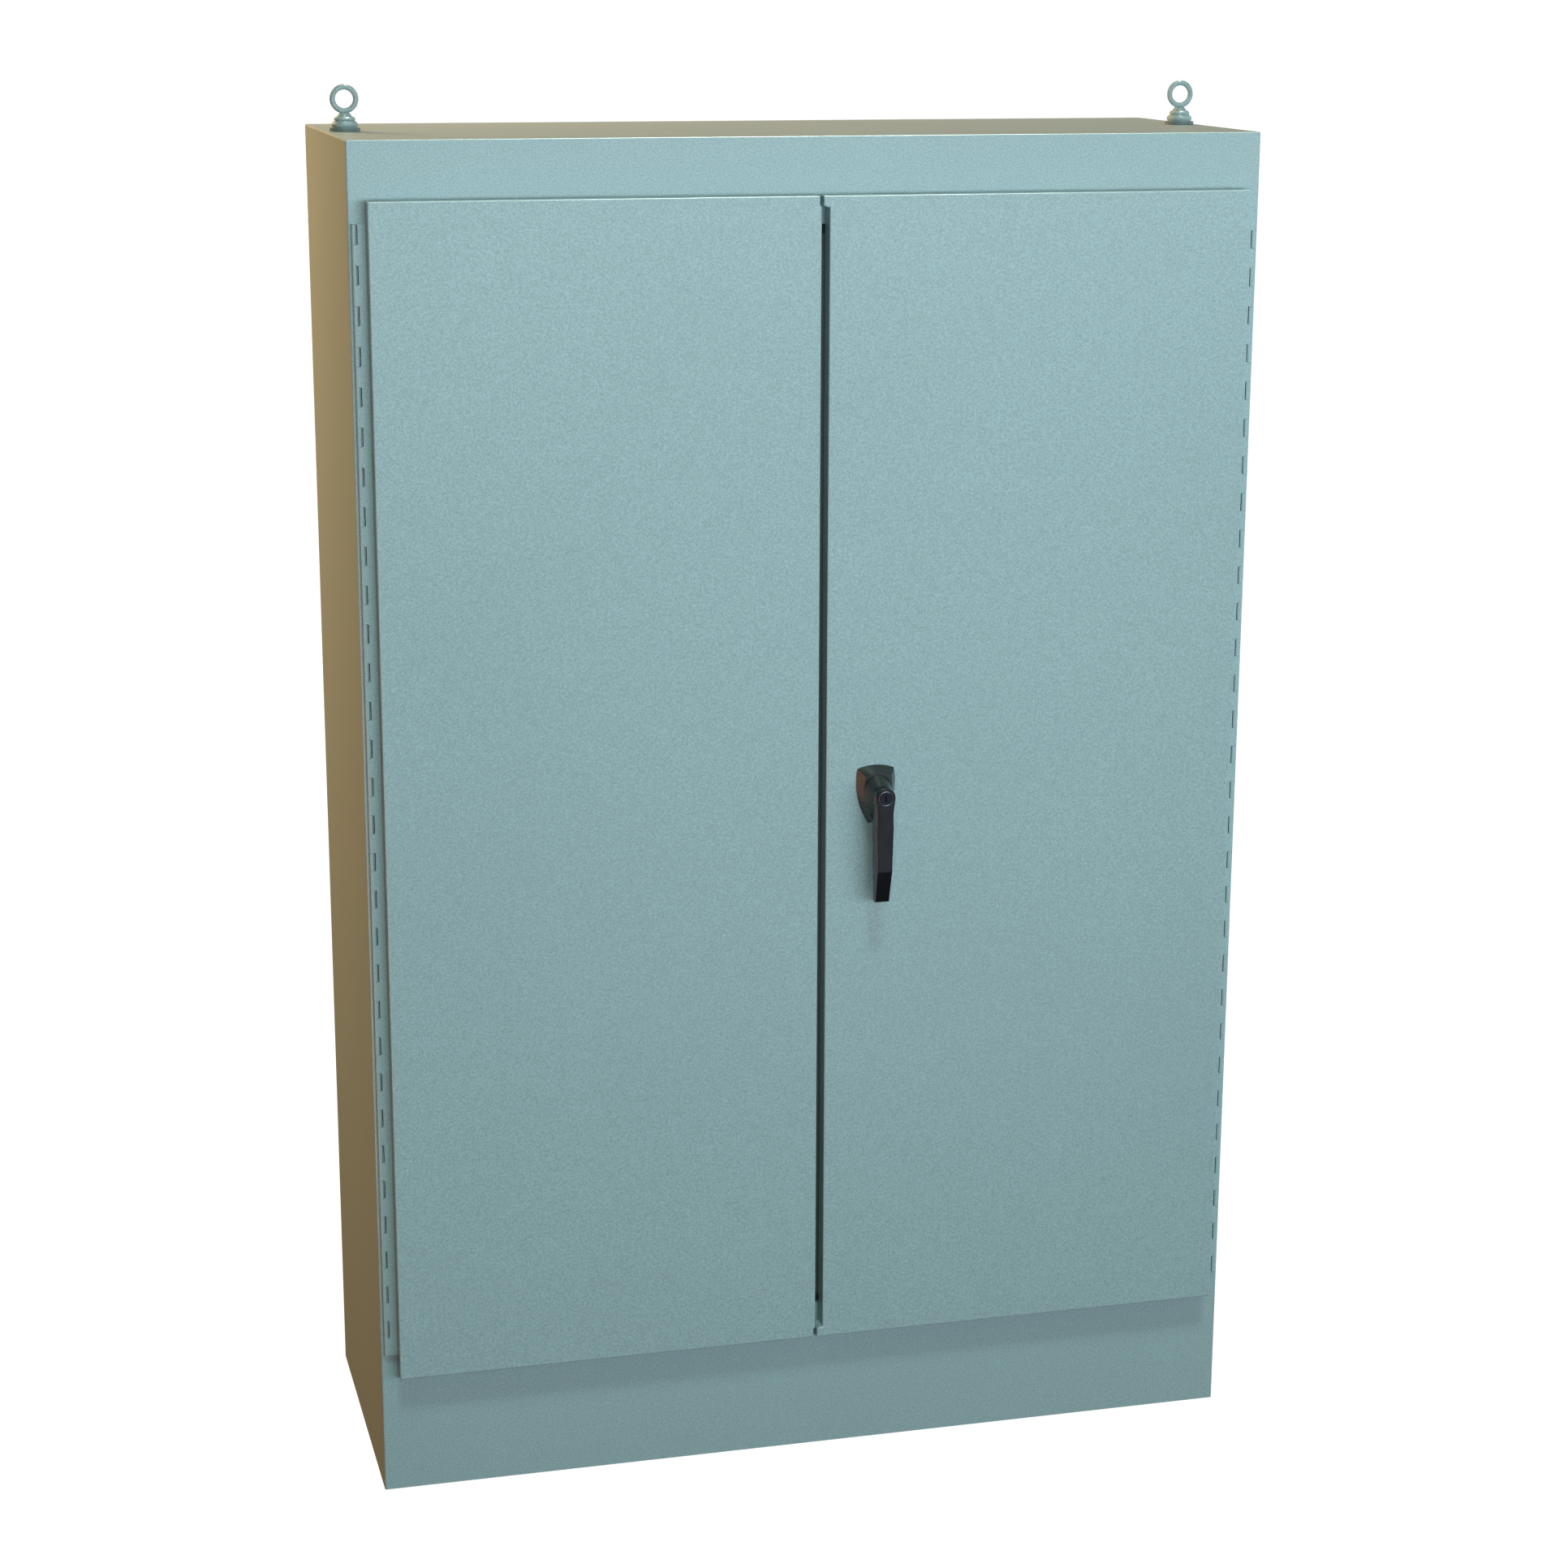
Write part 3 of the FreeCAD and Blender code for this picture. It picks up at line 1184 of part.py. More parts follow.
def lug_bar(y0, z, stand_r):
    """A drilled terminal bar held off the panel by two round supports."""
    x0, x1 = BAR_X
    middle = z + BAR_HEIGHT / 2
    bar = box(x0, x1, y0, y0 + BAR_THICK, z, z + BAR_HEIGHT)
    for i in range(1, int((x1 - x0) / BAR_HOLE_PITCH)):
        bar = drill(bar, vec(x0 + BAR_HOLE_PITCH * i, y0, middle), Y_AXIS, BAR_HOLE_DEPTH, BAR_HOLE_R)
    rear = y0 + BAR_THICK
    stands = [rod(vec(x, rear, middle), Y_AXIS, PANEL_FRONT - rear, stand_r)
              for x in (x0 + BAR_STAND_INSET, x1 - BAR_STAND_INSET)]
    return fuse([bar] + stands)


def neutral_bar():
    return lug_bar(140.0, 560.0, 14.0)


def ground_bar():
    return lug_bar(155.0, 330.0, 9.0)


def duct(x0, x1, z0, z1, vertical):
    w = DUCT_WALL
    outer = box(x0, x1, DUCT_FRONT, PANEL_FRONT, z0, z1)
    if vertical:
        return outer.cut(box(x0 + w, x1 - w, DUCT_FRONT + w, PANEL_FRONT - w, z0 - CUT, z1 + CUT))
    return outer.cut(box(x0 - CUT, x1 + CUT, DUCT_FRONT + w, PANEL_FRONT - w, z0 + w, z1 - w))


def wire_ducts():
    return group([duct(*spec) for spec in DUCTS])


SUBPARTS = (
    left_side_panel, right_side_panel, back_panel, roof_panel, floor_panel, gland_plate,
    front_header, front_apron, centre_post, frame_bolts, lifting_eyes, eye_washers, eye_nuts,
    hinge_frame_leaves, hinge_pins, left_hinge_door_leaf, right_hinge_door_leaf,
    left_door_panel, right_door_panel, left_door_gasket, right_door_gasket,
    left_door_stiffeners, right_door_stiffeners, document_pocket,
    handle_escutcheon, lever_handle, key_plug, latch_bracket, latch_cam,
    upper_latch_rod, lower_latch_rod, rod_guides, upper_flush_bolt, lower_flush_bolt, bolt_guides,
    mounting_panel, panel_studs, panel_nuts, switch_base_plate, normal_switch_case, emergency_switch_case,
    normal_toggle, emergency_toggle, transfer_slide, slide_guides, operator_motor, operator_pinion,
    load_busbars, cable_lugs, controller_case, controller_display, test_button, mode_selector,
    control_transformers, din_rail, terminal_blocks, fuse_holders, neutral_bar, ground_bar, wire_ducts,
)

os.makedirs("parts", exist_ok=True)
for subpart in SUBPARTS:
    subpart().exportStep(f"parts/{subpart.__name__}.step")
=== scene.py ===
import json
import math

import bmesh
import bpy
from mathutils import Matrix, Vector


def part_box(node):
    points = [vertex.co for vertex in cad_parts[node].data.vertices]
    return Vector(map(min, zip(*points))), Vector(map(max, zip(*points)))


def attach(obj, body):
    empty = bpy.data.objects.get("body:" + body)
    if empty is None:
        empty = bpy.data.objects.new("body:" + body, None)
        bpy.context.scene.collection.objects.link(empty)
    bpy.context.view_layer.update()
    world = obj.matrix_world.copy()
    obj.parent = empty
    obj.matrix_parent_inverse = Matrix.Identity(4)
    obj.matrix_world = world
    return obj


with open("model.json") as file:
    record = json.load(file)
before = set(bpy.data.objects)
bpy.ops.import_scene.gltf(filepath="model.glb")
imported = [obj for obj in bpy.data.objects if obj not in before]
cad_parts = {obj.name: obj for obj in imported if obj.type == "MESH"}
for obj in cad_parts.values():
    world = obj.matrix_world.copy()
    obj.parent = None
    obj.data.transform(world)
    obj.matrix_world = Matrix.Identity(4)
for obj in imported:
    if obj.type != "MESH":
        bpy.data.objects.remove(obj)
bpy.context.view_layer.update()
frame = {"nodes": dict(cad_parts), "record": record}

MM = 0.001
HEXAGON = 6

# A Mix node has sockets for every type of data. These are the ones for colours.
MIX_FACTOR, MIX_FIRST, MIX_SECOND, MIX_RESULT = 0, 6, 7, 2


# ---------------- colours and node materials

def srgb(red, green, blue):
    """A colour given as 0-255 sRGB, as linear values."""
    def linear(channel):
        value = channel / 255
        return value / 12.92 if value <= 0.04045 else ((value + 0.055) / 1.055) ** 2.4
    return (linear(red), linear(green), linear(blue), 1.0)


def scaled(colour, factor):
    """A lighter or darker copy of a colour, never above full strength."""
    return tuple(min(1.0, c * factor) for c in colour[:3]) + (1.0,)


class Nodes:
    """A node tree, and short ways to add nodes to it."""

    def __init__(self, owner):
        owner.use_nodes = True
        self.nodes = owner.node_tree.nodes
        self.links = owner.node_tree.links

    def feed(self, socket, value):
        """Sets a plain value on the socket, or links another node's output to it."""
        if isinstance(value, (int, float, tuple)):
            socket.default_value = value
        else:
            self.links.new(value, socket)

    def add(self, kind, **inputs):
        """A new node. A space in an input's name is written as an underscore."""
        node = self.nodes.new("ShaderNode" + kind)
        for name, value in inputs.items():
            self.feed(node.inputs[name.replace("_", " ")], value)
        return node

    def level(self, value, low, high, start=0.3, end=0.7):
        """A value from start to end, brought to low to high."""
        node = self.add("MapRange", Value=value, From_Min=start, From_Max=end, To_Min=low, To_Max=high)
        return node.outputs["Result"]

    def mix(self, factor, first, second):
        """Two colours, blended by a factor."""
        node = self.nodes.new("ShaderNodeMix")
        node.data_type = "RGBA"
        self.feed(node.inputs[MIX_FACTOR], factor)
        self.feed(node.inputs[MIX_FIRST], first)
        self.feed(node.inputs[MIX_SECOND], second)
        return node.outputs[MIX_RESULT]


class Shader(Nodes):
    """A material with one Principled surface. Its textures lie in object space."""

    def __init__(self, name):
        self.material = bpy.data.materials.new(name)
        super().__init__(self.material)
        self.surface = self.nodes["Principled BSDF"]
        self.place = self.add("TexCoord").outputs["Object"]

    def noise(self, scale, detail=2.0, roughness=0.5, stretch=None):
        """A cloudy texture. `stretch` is a scale of its own for each axis."""
        place = self.place
        if stretch:
            place = self.add("Mapping", Vector=place, Scale=stretch).outputs["Vector"]
        node = self.add("TexNoise", Vector=place, Scale=scale, Detail=detail, Roughness=roughness)
        return node.outputs["Fac"]

    def cells(self, scale):
        """A pitted or crystalline texture."""
        return self.add("TexVoronoi", Vector=self.place, Scale=scale).outputs["Distance"]

    def tones(self, factor, colour, dark, light, start=0.3, end=0.7):
        """A colour that a texture varies between two multiples of itself."""
        blend = self.level(factor, 0.0, 1.0, start, end)
        return self.mix(blend, scaled(colour, dark), scaled(colour, light))

    def bump(self, height, strength, distance):
        """Relief of the surface."""
        return self.add("Bump", Height=height, Strength=strength, Distance=distance).outputs["Normal"]

    def finish(self, colour, roughness, normal=None, metallic=0.0, **sockets):
        """Feeds the surface and gives back the material."""
        sockets.update(Base_Color=colour, Roughness=roughness, Metallic=metallic)
        if normal:
            sockets["Normal"] = normal
        for name, value in sockets.items():
            self.feed(self.surface.inputs[name.replace("_", " ")], value)
        return self.material


def powder_coat(name, colour, grain=0.20, roughness=0.42, peel=0.22):
    """Baked powder paint: fine grain, faint orange peel and a slight cloudiness of colour."""
    shader = Shader(name)
    speck = shader.noise(520, detail=3.0, roughness=0.65)
    cloud = shader.noise(3.2, detail=3.0, roughness=0.55)
    peel_height = shader.noise(330, detail=1.0)
    tone = shader.tones(speck, colour, 1 - grain, 1 + grain, start=0.33, end=0.67)
    cloudy = shader.mix(shader.level(cloud, 0.0, 0.10), tone, scaled(colour, 0.72))
    rough = shader.level(speck, roughness - 0.05, roughness + 0.07)
    peeled = shader.bump(peel_height, strength=peel, distance=0.0006)
    relief = shader.add("Bump", Height=speck, Strength=0.10, Distance=0.0004, Normal=peeled)
    return shader.finish(cloudy, rough, relief.outputs["Normal"], Coat_Weight=0.35, Coat_Roughness=0.2)


def plated(name, colour, roughness=0.32):
    """Bright plate on steel: blotchy crystals and faint handling marks."""
    shader = Shader(name)
    crystal = shader.cells(260)
    smear = shader.noise(28, detail=4.0, roughness=0.6, stretch=(40, 40, 40))
    tone = shader.tones(crystal, colour, 0.88, 1.12, start=0.1, end=0.7)
    rough = shader.level(smear, roughness - 0.09, roughness + 0.12)
    normal = shader.bump(smear, strength=0.08, distance=0.0003)
    return shader.finish(tone, rough, normal, metallic=1.0)


def brushed(name, colour, stretch, roughness=0.3, strength=0.16):
    """Metal with a long grain along one axis."""
    shader = Shader(name)
    grain = shader.noise(60, detail=5.0, roughness=0.65, stretch=stretch)
    stain = shader.noise(9, detail=3.0)
    tone = shader.tones(grain, colour, 0.80, 1.12)
    stained = shader.mix(shader.level(stain, 0.0, 0.35), tone, scaled(colour, 0.55))
    rough = shader.level(grain, roughness - 0.08, roughness + 0.12)
    normal = shader.bump(grain, strength, distance=0.0003)
    return shader.finish(stained, rough, normal, metallic=1.0)


def moulded(name, colour, roughness=0.5, texture=420, relief=0.3, variation=0.12):
    """Moulded plastic: spark-eroded texture with a faint flow pattern."""
    shader = Shader(name)
    pits = shader.cells(texture)
    flow = shader.noise(14, detail=3.0, roughness=0.5)
    tone = shader.tones(flow, colour, 1 - variation, 1 + variation)
    rough = shader.level(flow, roughness - 0.06, roughness + 0.08)
    normal = shader.bump(pits, relief, distance=0.00025)
    return shader.finish(tone, rough, normal)


def satin_black(name, dark, light, coat):
    """A satin black coat over a casting, a little polished by hands."""
    shader = Shader(name)
    grain = shader.noise(520, detail=3.0, roughness=0.6)
    handled = shader.noise(35, detail=3.0, roughness=0.5)
    tone = shader.mix(shader.level(handled, 0.0, 1.0), dark, light)
    rough = shader.level(handled, 0.2, 0.34)
    normal = shader.bump(grain, strength=0.16, distance=0.0004)
    return shader.finish(tone, rough, normal, Coat_Weight=coat, Coat_Roughness=0.14)


def foam(name):
    """Black closed-cell gasket foam."""
    shader = Shader(name)
    cell = shader.cells(900)
    tone = shader.mix(shader.level(cell, 0.0, 1.0, 0.1, 0.6), srgb(16, 16, 17), srgb(44, 44, 46))
    return shader.finish(tone, 0.88, shader.bump(cell, strength=0.8, distance=0.0006))


def laminations(name):
    """Stacked core plates under varnish."""
    shader = Shader(name)
    wave = shader.add("TexWave", Vector=shader.place, Scale=260, Distortion=0.4)
    wave.bands_direction = "Y"
    plates = wave.outputs["Fac"]
    tone = shader.mix(plates, srgb(28, 28, 31), srgb(66, 66, 72))
    rough = shader.level(shader.noise(40), 0.35, 0.55)
    return shader.finish(tone, rough, shader.bump(plates, strength=0.5, distance=0.0003))


def screen_glass(name):
    """The display's dark glass, with faint smudges."""
    shader = Shader(name)
    smudge = shader.noise(22, detail=4.0, roughness=0.6)
    tone = shader.mix(shader.level(smudge, 0.0, 1.0), srgb(16, 24, 26), srgb(24, 34, 36))
    rough = shader.level(smudge, 0.06, 0.16)
    return shader.finish(tone, rough, IOR=1.5, Coat_Weight=0.6, Coat_Roughness=0.05)


def spangled(name, colour):
    """Galvanised sheet: flat spangles of slightly different greys."""
    shader = Shader(name)
    spangle = shader.cells(90)
    tone = shader.tones(spangle, colour, 0.84, 1.1, start=0.1, end=0.7)
    rough = shader.level(spangle, 0.42, 0.56, 0.1, 0.7)
    return shader.finish(tone, rough, shader.bump(spangle, strength=0.05, distance=0.0003), metallic=0.35)


def lit_lens(name, colour, glow):
    """A small moulded lens that is a little lit from inside."""
    shader = Shader(name)
    ripple = shader.cells(700)
    tone = shader.tones(ripple, colour, 0.85, 1.15, start=0.1, end=0.7)
    normal = shader.bump(ripple, strength=0.2, distance=0.0002)
    return shader.finish(tone, 0.18, normal, Emission_Color=colour, Emission_Strength=glow)


def sleeved(name, colour):
    """Extruded wire insulation, a little scuffed."""
    shader = Shader(name)
    scuff = shader.noise(90, detail=4.0, roughness=0.6)
    tone = shader.tones(scuff, colour, 0.86, 1.1)
    rough = shader.level(scuff, 0.34, 0.52)
    return shader.finish(tone, rough, shader.bump(scuff, strength=0.1, distance=0.0002))


PAINT = srgb(153, 181, 184)

paint = powder_coat("cabinet_powder_coat", PAINT)
# The lifting eyes wear the cabinet paint; this darker copy of it is painted shade.
eye_shaded_paint = powder_coat("eye_shaded_powder_coat", scaled(PAINT, 0.82))
# The eye washers wear the cabinet paint; this copy at half brightness is painted shade.
shaded_paint = powder_coat("washer_shaded_powder_coat", scaled(PAINT, 0.5))
# Dark grey for the centre post, deep in the gap between the doors: painted shade over the cabinet's own paint.
post_paint = powder_coat("post_shaded_powder_coat", srgb(88, 91, 90))
panel_white = powder_coat("panel_white_coat", srgb(226, 226, 220), grain=0.03, roughness=0.34, peel=0.3)
handle_black = satin_black("handle_satin_black", srgb(5, 8, 11), srgb(8, 13, 18), coat=0.1)
escutcheon_black = satin_black("escutcheon_satin_black", srgb(29, 33, 32), srgb(37, 42, 41), coat=0.4)
# The key plug's dark base colour stands in for the dark surroundings it reflects: painted reflection.
key_metal = brushed("key_cylinder_dark_reflection_metal", srgb(58, 60, 68), (60, 4, 60), roughness=0.24, strength=0.08)
zinc = plated("bright_zinc", srgb(186, 190, 194))
ground_steel = brushed("ground_steel", srgb(150, 152, 154), (60, 60, 2))
rubber = foam("foam_gasket")
black_mould = moulded("black_mould", srgb(40, 41, 44))
charcoal = moulded("charcoal_mould", srgb(58, 60, 64), roughness=0.42, texture=520)
grey_mould = moulded("grey_mould", srgb(128, 131, 133))
duct_plastic = moulded("duct_plastic", srgb(158, 163, 166), relief=0.12)
nylon = moulded("nylon_black", srgb(44, 44, 46), roughness=0.6, texture=700)
terminal_plastic = moulded("terminal_plastic", srgb(166, 170, 172), roughness=0.45, relief=0.15)
glass = screen_glass("display_glass")
red_gloss = moulded("button_red", srgb(170, 26, 24), roughness=0.25, relief=0.08)
copper = brushed("copper_bar", srgb(205, 128, 92), (60, 60, 3), roughness=0.3)
tin = plated("tin_plate", srgb(205, 206, 206), roughness=0.4)
motor_enamel = powder_coat("motor_enamel", srgb(92, 98, 106), grain=0.05, roughness=0.38)
gear_metal = brushed("gear_bronze", srgb(200, 160, 92), (4, 60, 4), roughness=0.28)
core_steel = laminations("core_laminations")
galvanised = spangled("galvanised_plate", srgb(150, 154, 156))
rim_metal = brushed("key_rim_metal", srgb(176, 178, 184), (60, 4, 60), roughness=0.3, strength=0.05)
bright_steel = brushed("bright_steel", srgb(206, 208, 210), (60, 60, 6), roughness=0.2, strength=0.06)
insulator_red = moulded("insulator_red", srgb(142, 44, 34), roughness=0.4, relief=0.2)
fibre_grey = moulded("barrier_fibre", srgb(96, 98, 100), roughness=0.65, texture=900)
plug_green = moulded("plug_green", srgb(46, 128, 78), roughness=0.45, relief=0.12)
marker_white = moulded("marker_white", srgb(226, 226, 222), roughness=0.5, relief=0.1, variation=0.03)
winding_tape = moulded("winding_tape", srgb(196, 164, 86), roughness=0.55, texture=240, relief=0.25)
paper = moulded("manual_paper", srgb(222, 220, 210), roughness=0.8, texture=1100, relief=0.15, variation=0.03)
lamp_green = lit_lens("lamp_green", srgb(60, 190, 90), 0.6)
lamp_red = lit_lens("lamp_red", srgb(200, 40, 34), 0.15)
lamp_amber = lit_lens("lamp_amber", srgb(226, 150, 40), 0.25)
screen_ink = lit_lens("screen_lines", srgb(120, 214, 226), 1.2)
WIRES = {
    "red": sleeved("wire_red", srgb(168, 34, 32)),
    "blue": sleeved("wire_blue", srgb(38, 72, 148)),
    "white": sleeved("wire_white", srgb(208, 208, 204)),
    "black": sleeved("wire_black", srgb(30, 30, 32)),
}

FINISH = {
    "cabinet_paint": paint, "inner_panel_paint": panel_white, "post_paint": post_paint, "zinc": zinc,
    "steel": ground_steel, "handle_black": handle_black, "key_metal": key_metal, "gasket": rubber,
    "moulded_black": black_mould, "moulded_grey": grey_mould, "duct_grey": duct_plastic, "nylon": nylon,
    "display": glass, "button_red": red_gloss, "copper": copper, "lug_metal": tin,
    "motor_grey": motor_enamel, "gear_brass": gear_metal, "core": core_steel,
    "terminal_grey": terminal_plastic, "fuse_black": black_mould,
}

NODE_FINISH = {
    "handle_escutcheon": escutcheon_black, "lifting_eyes": eye_shaded_paint, "eye_washers": shaded_paint,
    "switch_base_plate": galvanised,
}


def dress_cad_nodes():
    """Every CAD node gets the node material of its record slot, or one of its own."""
    for subpart in frame["record"]["subparts"]:
        name = subpart["node"]
        for material_slot in frame["nodes"][name].material_slots:
            material_slot.material = NODE_FINISH.get(name, FINISH[subpart["material_slot"]])


dress_cad_nodes()


# ---------------- making detail pieces, in millimetres

def add_object(name, data):
    """A new object in the scene, around a mesh, curve, light or camera."""
    added = bpy.data.objects.new(name, data)
    bpy.context.scene.collection.objects.link(added)
    return added


class Span:
    """A CAD node's box in millimetres."""

    def __init__(self, node):
        (self.x0, self.y0, self.z0), (self.x1, self.y1, self.z1) = (
            [c / MM for c in corner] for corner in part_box(node))
        self.x = (self.x0 + self.x1) / 2
        self.y = (self.y0 + self.y1) / 2
        self.z = (self.z0 + self.z1) / 2

    def corners(self, inset):
        """Four places inside the corners, seen from the front."""
        return [(x, z) for x in (self.x0 + inset, self.x1 - inset) for z in (self.z0 + inset, self.z1 - inset)]


# Where an outline's point (u, v) at the place w along the axis lies in the frame.
PLACES = {"X": lambda u, v, w: (w, u, v), "Y": lambda u, v, w: (u, w, v), "Z": lambda u, v, w: (u, v, w)}

# Edges sharper than these, in degrees, stay creased or take the bevel.
SHARP_ANGLE = 32
BEVEL_ANGLE = 40


class Piece:
    """A mesh under construction. Outlines are (x, z) along Y, (x, y) along Z or (y, z) along X."""

    def __init__(self, name, axis="Y"):
        self.name = name
        self.shape = bmesh.new()
        self.place = PLACES[axis]

    def loop(self, outline, w):
        """The outline's vertices, at one place along the axis."""
        return [self.shape.verts.new([c * MM for c in self.place(u, v, w)]) for u, v in outline]

    def bridge(self, loops, closed=False):
        """Skins a run of loops; the two ends are capped unless the run closes on itself."""
        pairs = list(zip(loops, loops[1:])) + ([(loops[-1], loops[0])] if closed else [])
        for one, other in pairs:
            for i in range(len(one)):
                self.shape.faces.new((one[i - 1], one[i], other[i], other[i - 1]))
        if not closed:
            self.shape.faces.new(loops[0])
            self.shape.faces.new(loops[-1])

    def prism(self, outline, start, end):
        """The outline, drawn out along the axis."""
        self.bridge([self.loop(outline, start), self.loop(outline, end)])

    def block(self, u0, u1, v0, v1, start, end):
        """A small rectangular solid."""
        self.prism([(u0, v0), (u1, v0), (u1, v1), (u0, v1)], start, end)

    def window(self, outer, inner, start, end):
        """A flat rectangular frame. Both rectangles are (u0, u1, v0, v1)."""
        def corners(u0, u1, v0, v1):
            return [(u0, v0), (u1, v0), (u1, v1), (u0, v1)]
        out, hole = corners(*outer), corners(*inner)
        loops = [self.loop(out, start), self.loop(out, end), self.loop(hole, end), self.loop(hole, start)]
        self.bridge(loops, closed=True)

    def turned(self, u, v, profile, steps=24, closed=False):
        """Loops about a line at (u, v). Each row is (radius, place) or, with flats, (radius, place, flats)."""
        loops = []
        for radius, w, *flats in profile:
            outline = []
            for i in range(steps):
                angle = 2 * math.pi * i / steps
                reach = radius
                if flats:
                    part = 2 * math.pi / flats[0]
                    reach = radius / math.cos((angle + part / 2) % part - part / 2)
                outline.append((u + reach * math.cos(angle), v + reach * math.sin(angle)))
            loops.append(self.loop(outline, w))
        self.bridge(loops, closed)

    def done(self, slot, material, bevel=0.0, body="enclosure"):
        """The finished object, of one material. It rides on a body. `slot` is not used."""
        bmesh.ops.recalc_face_normals(self.shape, faces=self.shape.faces)
        mesh = bpy.data.meshes.new(self.name)
        self.shape.to_mesh(mesh)
        self.shape.free()
        mesh.materials.append(material)
        mesh.shade_smooth()
        mesh.set_sharp_from_angle(angle=math.radians(SHARP_ANGLE))
        piece = add_object(self.name, mesh)
        if bevel:
            rounding = piece.modifiers.new("edges", "BEVEL")
            rounding.width = bevel * MM
            rounding.segments = 2
            rounding.limit_method = "ANGLE"
            rounding.angle_limit = math.radians(BEVEL_ANGLE)
        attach(piece, body)


def socket_screw(piece, u, v, seat, toward=-1, radius=4.0, rise=2.6):
    """A round screw head with a hexagon socket. It stands on `seat` and faces `toward` along the axis."""
    chamfer = 0.6
    top = seat + toward * rise
    socket, socket_floor = radius / 2, seat + toward * rise * 0.4
    piece.turned(u, v, [(radius, seat), (radius, top - toward * chamfer), (radius - chamfer, top),
                        (socket, top, HEXAGON), (socket, socket_floor, HEXAGON)])


def hex_bolt(piece, u, v, seat, toward=-1, across=13.0, rise=5.0, washer=9.5):
    """A hexagon head on a round washer."""
    wash = seat + toward * 1.4
    top = wash + toward * rise
    half = across / 2
    piece.turned(u, v, [(washer, seat), (washer, wash - toward * 0.3), (washer - 0.4, wash)])
    piece.turned(u, v, [(half, wash, HEXAGON), (half, top - toward * 0.8, HEXAGON), (half - 0.5, top)])


def wires(name, routes, radius, colour):
    """Fixed wires, as one curve object with a smooth spline for each route."""
    curve = bpy.data.curves.new(name, "CURVE")
    curve.dimensions = "3D"
    curve.bevel_depth = radius * MM
    curve.bevel_resolution = 3
    curve.use_fill_caps = True
    curve.materials.append(WIRES[colour])
    for route in routes:
        spline = curve.splines.new("NURBS")
        spline.points.add(len(route) - 1)
        for point, (x, y, z) in zip(spline.points, route):
            point.co = (x * MM, y * MM, z * MM, 1.0)
        spline.order_u = 3
        spline.use_endpoint_u = True
        spline.resolution_u = 6
    piece = add_object(name, curve)
    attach(piece, "enclosure")


def loom(name, routes, radius):
    """Wires of several colours, with one list of routes for each colour."""
    for colour, paths in routes.items():
        wires(name + "_" + colour, paths, radius, colour)


def rising(face, *rows):
    """A profile for `turned` that stands out from a face. Each row is (radius, height) or has flats too."""
    return [(radius, face - height, *flats) for radius, height, *flats in rows]


# ---------------- door hardware

def key_rim():
    """The bright lip of the lock cylinder, around the key plug."""
    plug = Span("key_plug")
    hub = Span("lever_handle").y0
    section = rising(hub, (9.15, 0), (9.15, 0.2), (9.5, 0.35), (9.9, 0.2), (10.0, 0))
    rim = Piece("key_rim")
    rim.turned(plug.x, plug.z, section, steps=48, closed=True)
    rim.done("key_metal", rim_metal, body="handle")


def eye_beads():
    """Two bulging tiers around each lifting eye's collar, with a groove between them."""
    eyes, washers = Span("lifting_eyes"), Span("eye_washers")
    washer_radius, bulge, depth, rows = 20.0, 2.2, 4.0, 6
    lower_tier, upper_tier = (15.2, 0.2, 7.8), (11.8, 8.8, 14.2)
    beads = Piece("eye_collar_beads", "Z")
    for x in (washers.x0 + washer_radius, washers.x1 - washer_radius):
        for radius, bottom, top in (lower_tier, upper_tier):
            profile = [(radius - depth, washers.z1 + bottom)]
            for row in range(rows + 1):
                reach = radius + bulge * math.sin(math.pi * row / rows)
                profile.append((reach, washers.z1 + bottom + row / rows * (top - bottom)))
            profile.append((radius - depth, washers.z1 + top))
            beads.turned(x, eyes.y, profile, steps=48, closed=True)
    beads.done("cabinet_paint", paint)


def hinge_notch_shade_strips(side, body, first, sign):
    """Dark strips just proud of the door leaf, beside the frame leaf's knuckles: painted shade of the leaf's
    open notches.
    """
    leaf = Span(side + "_hinge_door_leaf")
    count, barrel, margin = 60, 6.0, 0.6
    knuckle = (leaf.z1 - leaf.z0) / count
    edge = max(leaf.x1, -leaf.x0) - barrel
    x0, x1 = sorted((sign * (edge - 0.5), sign * (edge - 1.7)))
    slots = Piece(side + "_hinge_notch_shade_strips")
    for index in range(first, count, 2):
        top = leaf.z1 - knuckle * index
        slots.block(x0, x1, top - knuckle + margin, top - margin, leaf.y0 - 0.12, leaf.y0 + 0.4)
    slots.done("gasket", rubber, body=body)


def latch_fixings():
    """The nut on the handle's spindle and the latch bracket's screws."""
    bracket, cam = Span("latch_bracket"), Span("latch_cam")
    nut = Piece("spindle_nut")
    hex_bolt(nut, cam.x, cam.z, cam.y1, toward=1, across=15.0, rise=3.6, washer=9.0)
    nut.done("zinc", zinc, bevel=0.3, body="handle")
    screws = Piece("latch_bracket_screws")
    for x, z in bracket.corners(inset=5):
        socket_screw(screws, x, z, bracket.y1, toward=1, radius=3.0, rise=2.0)
    screws.done("zinc", zinc, body="right_door")


def rod_guide_screws():
    """Two screws through each guide of the upper and lower latch rods, three guides to a rod."""
    guides = Span("rod_guides")
    spacing, guide_height, inset = 270.0, 18.0, 3.2
    screws = Piece("rod_guide_screws")
    for lowest in (guides.z0, guides.z1 - guide_height - 2 * spacing):
        for i in range(3):
            z = lowest + spacing * i + guide_height / 2
            for x in (guides.x0 + inset, guides.x1 - inset):
                socket_screw(screws, x, z, guides.y1, toward=1, radius=2.6, rise=1.6)
    screws.done("zinc", zinc, body="right_door")


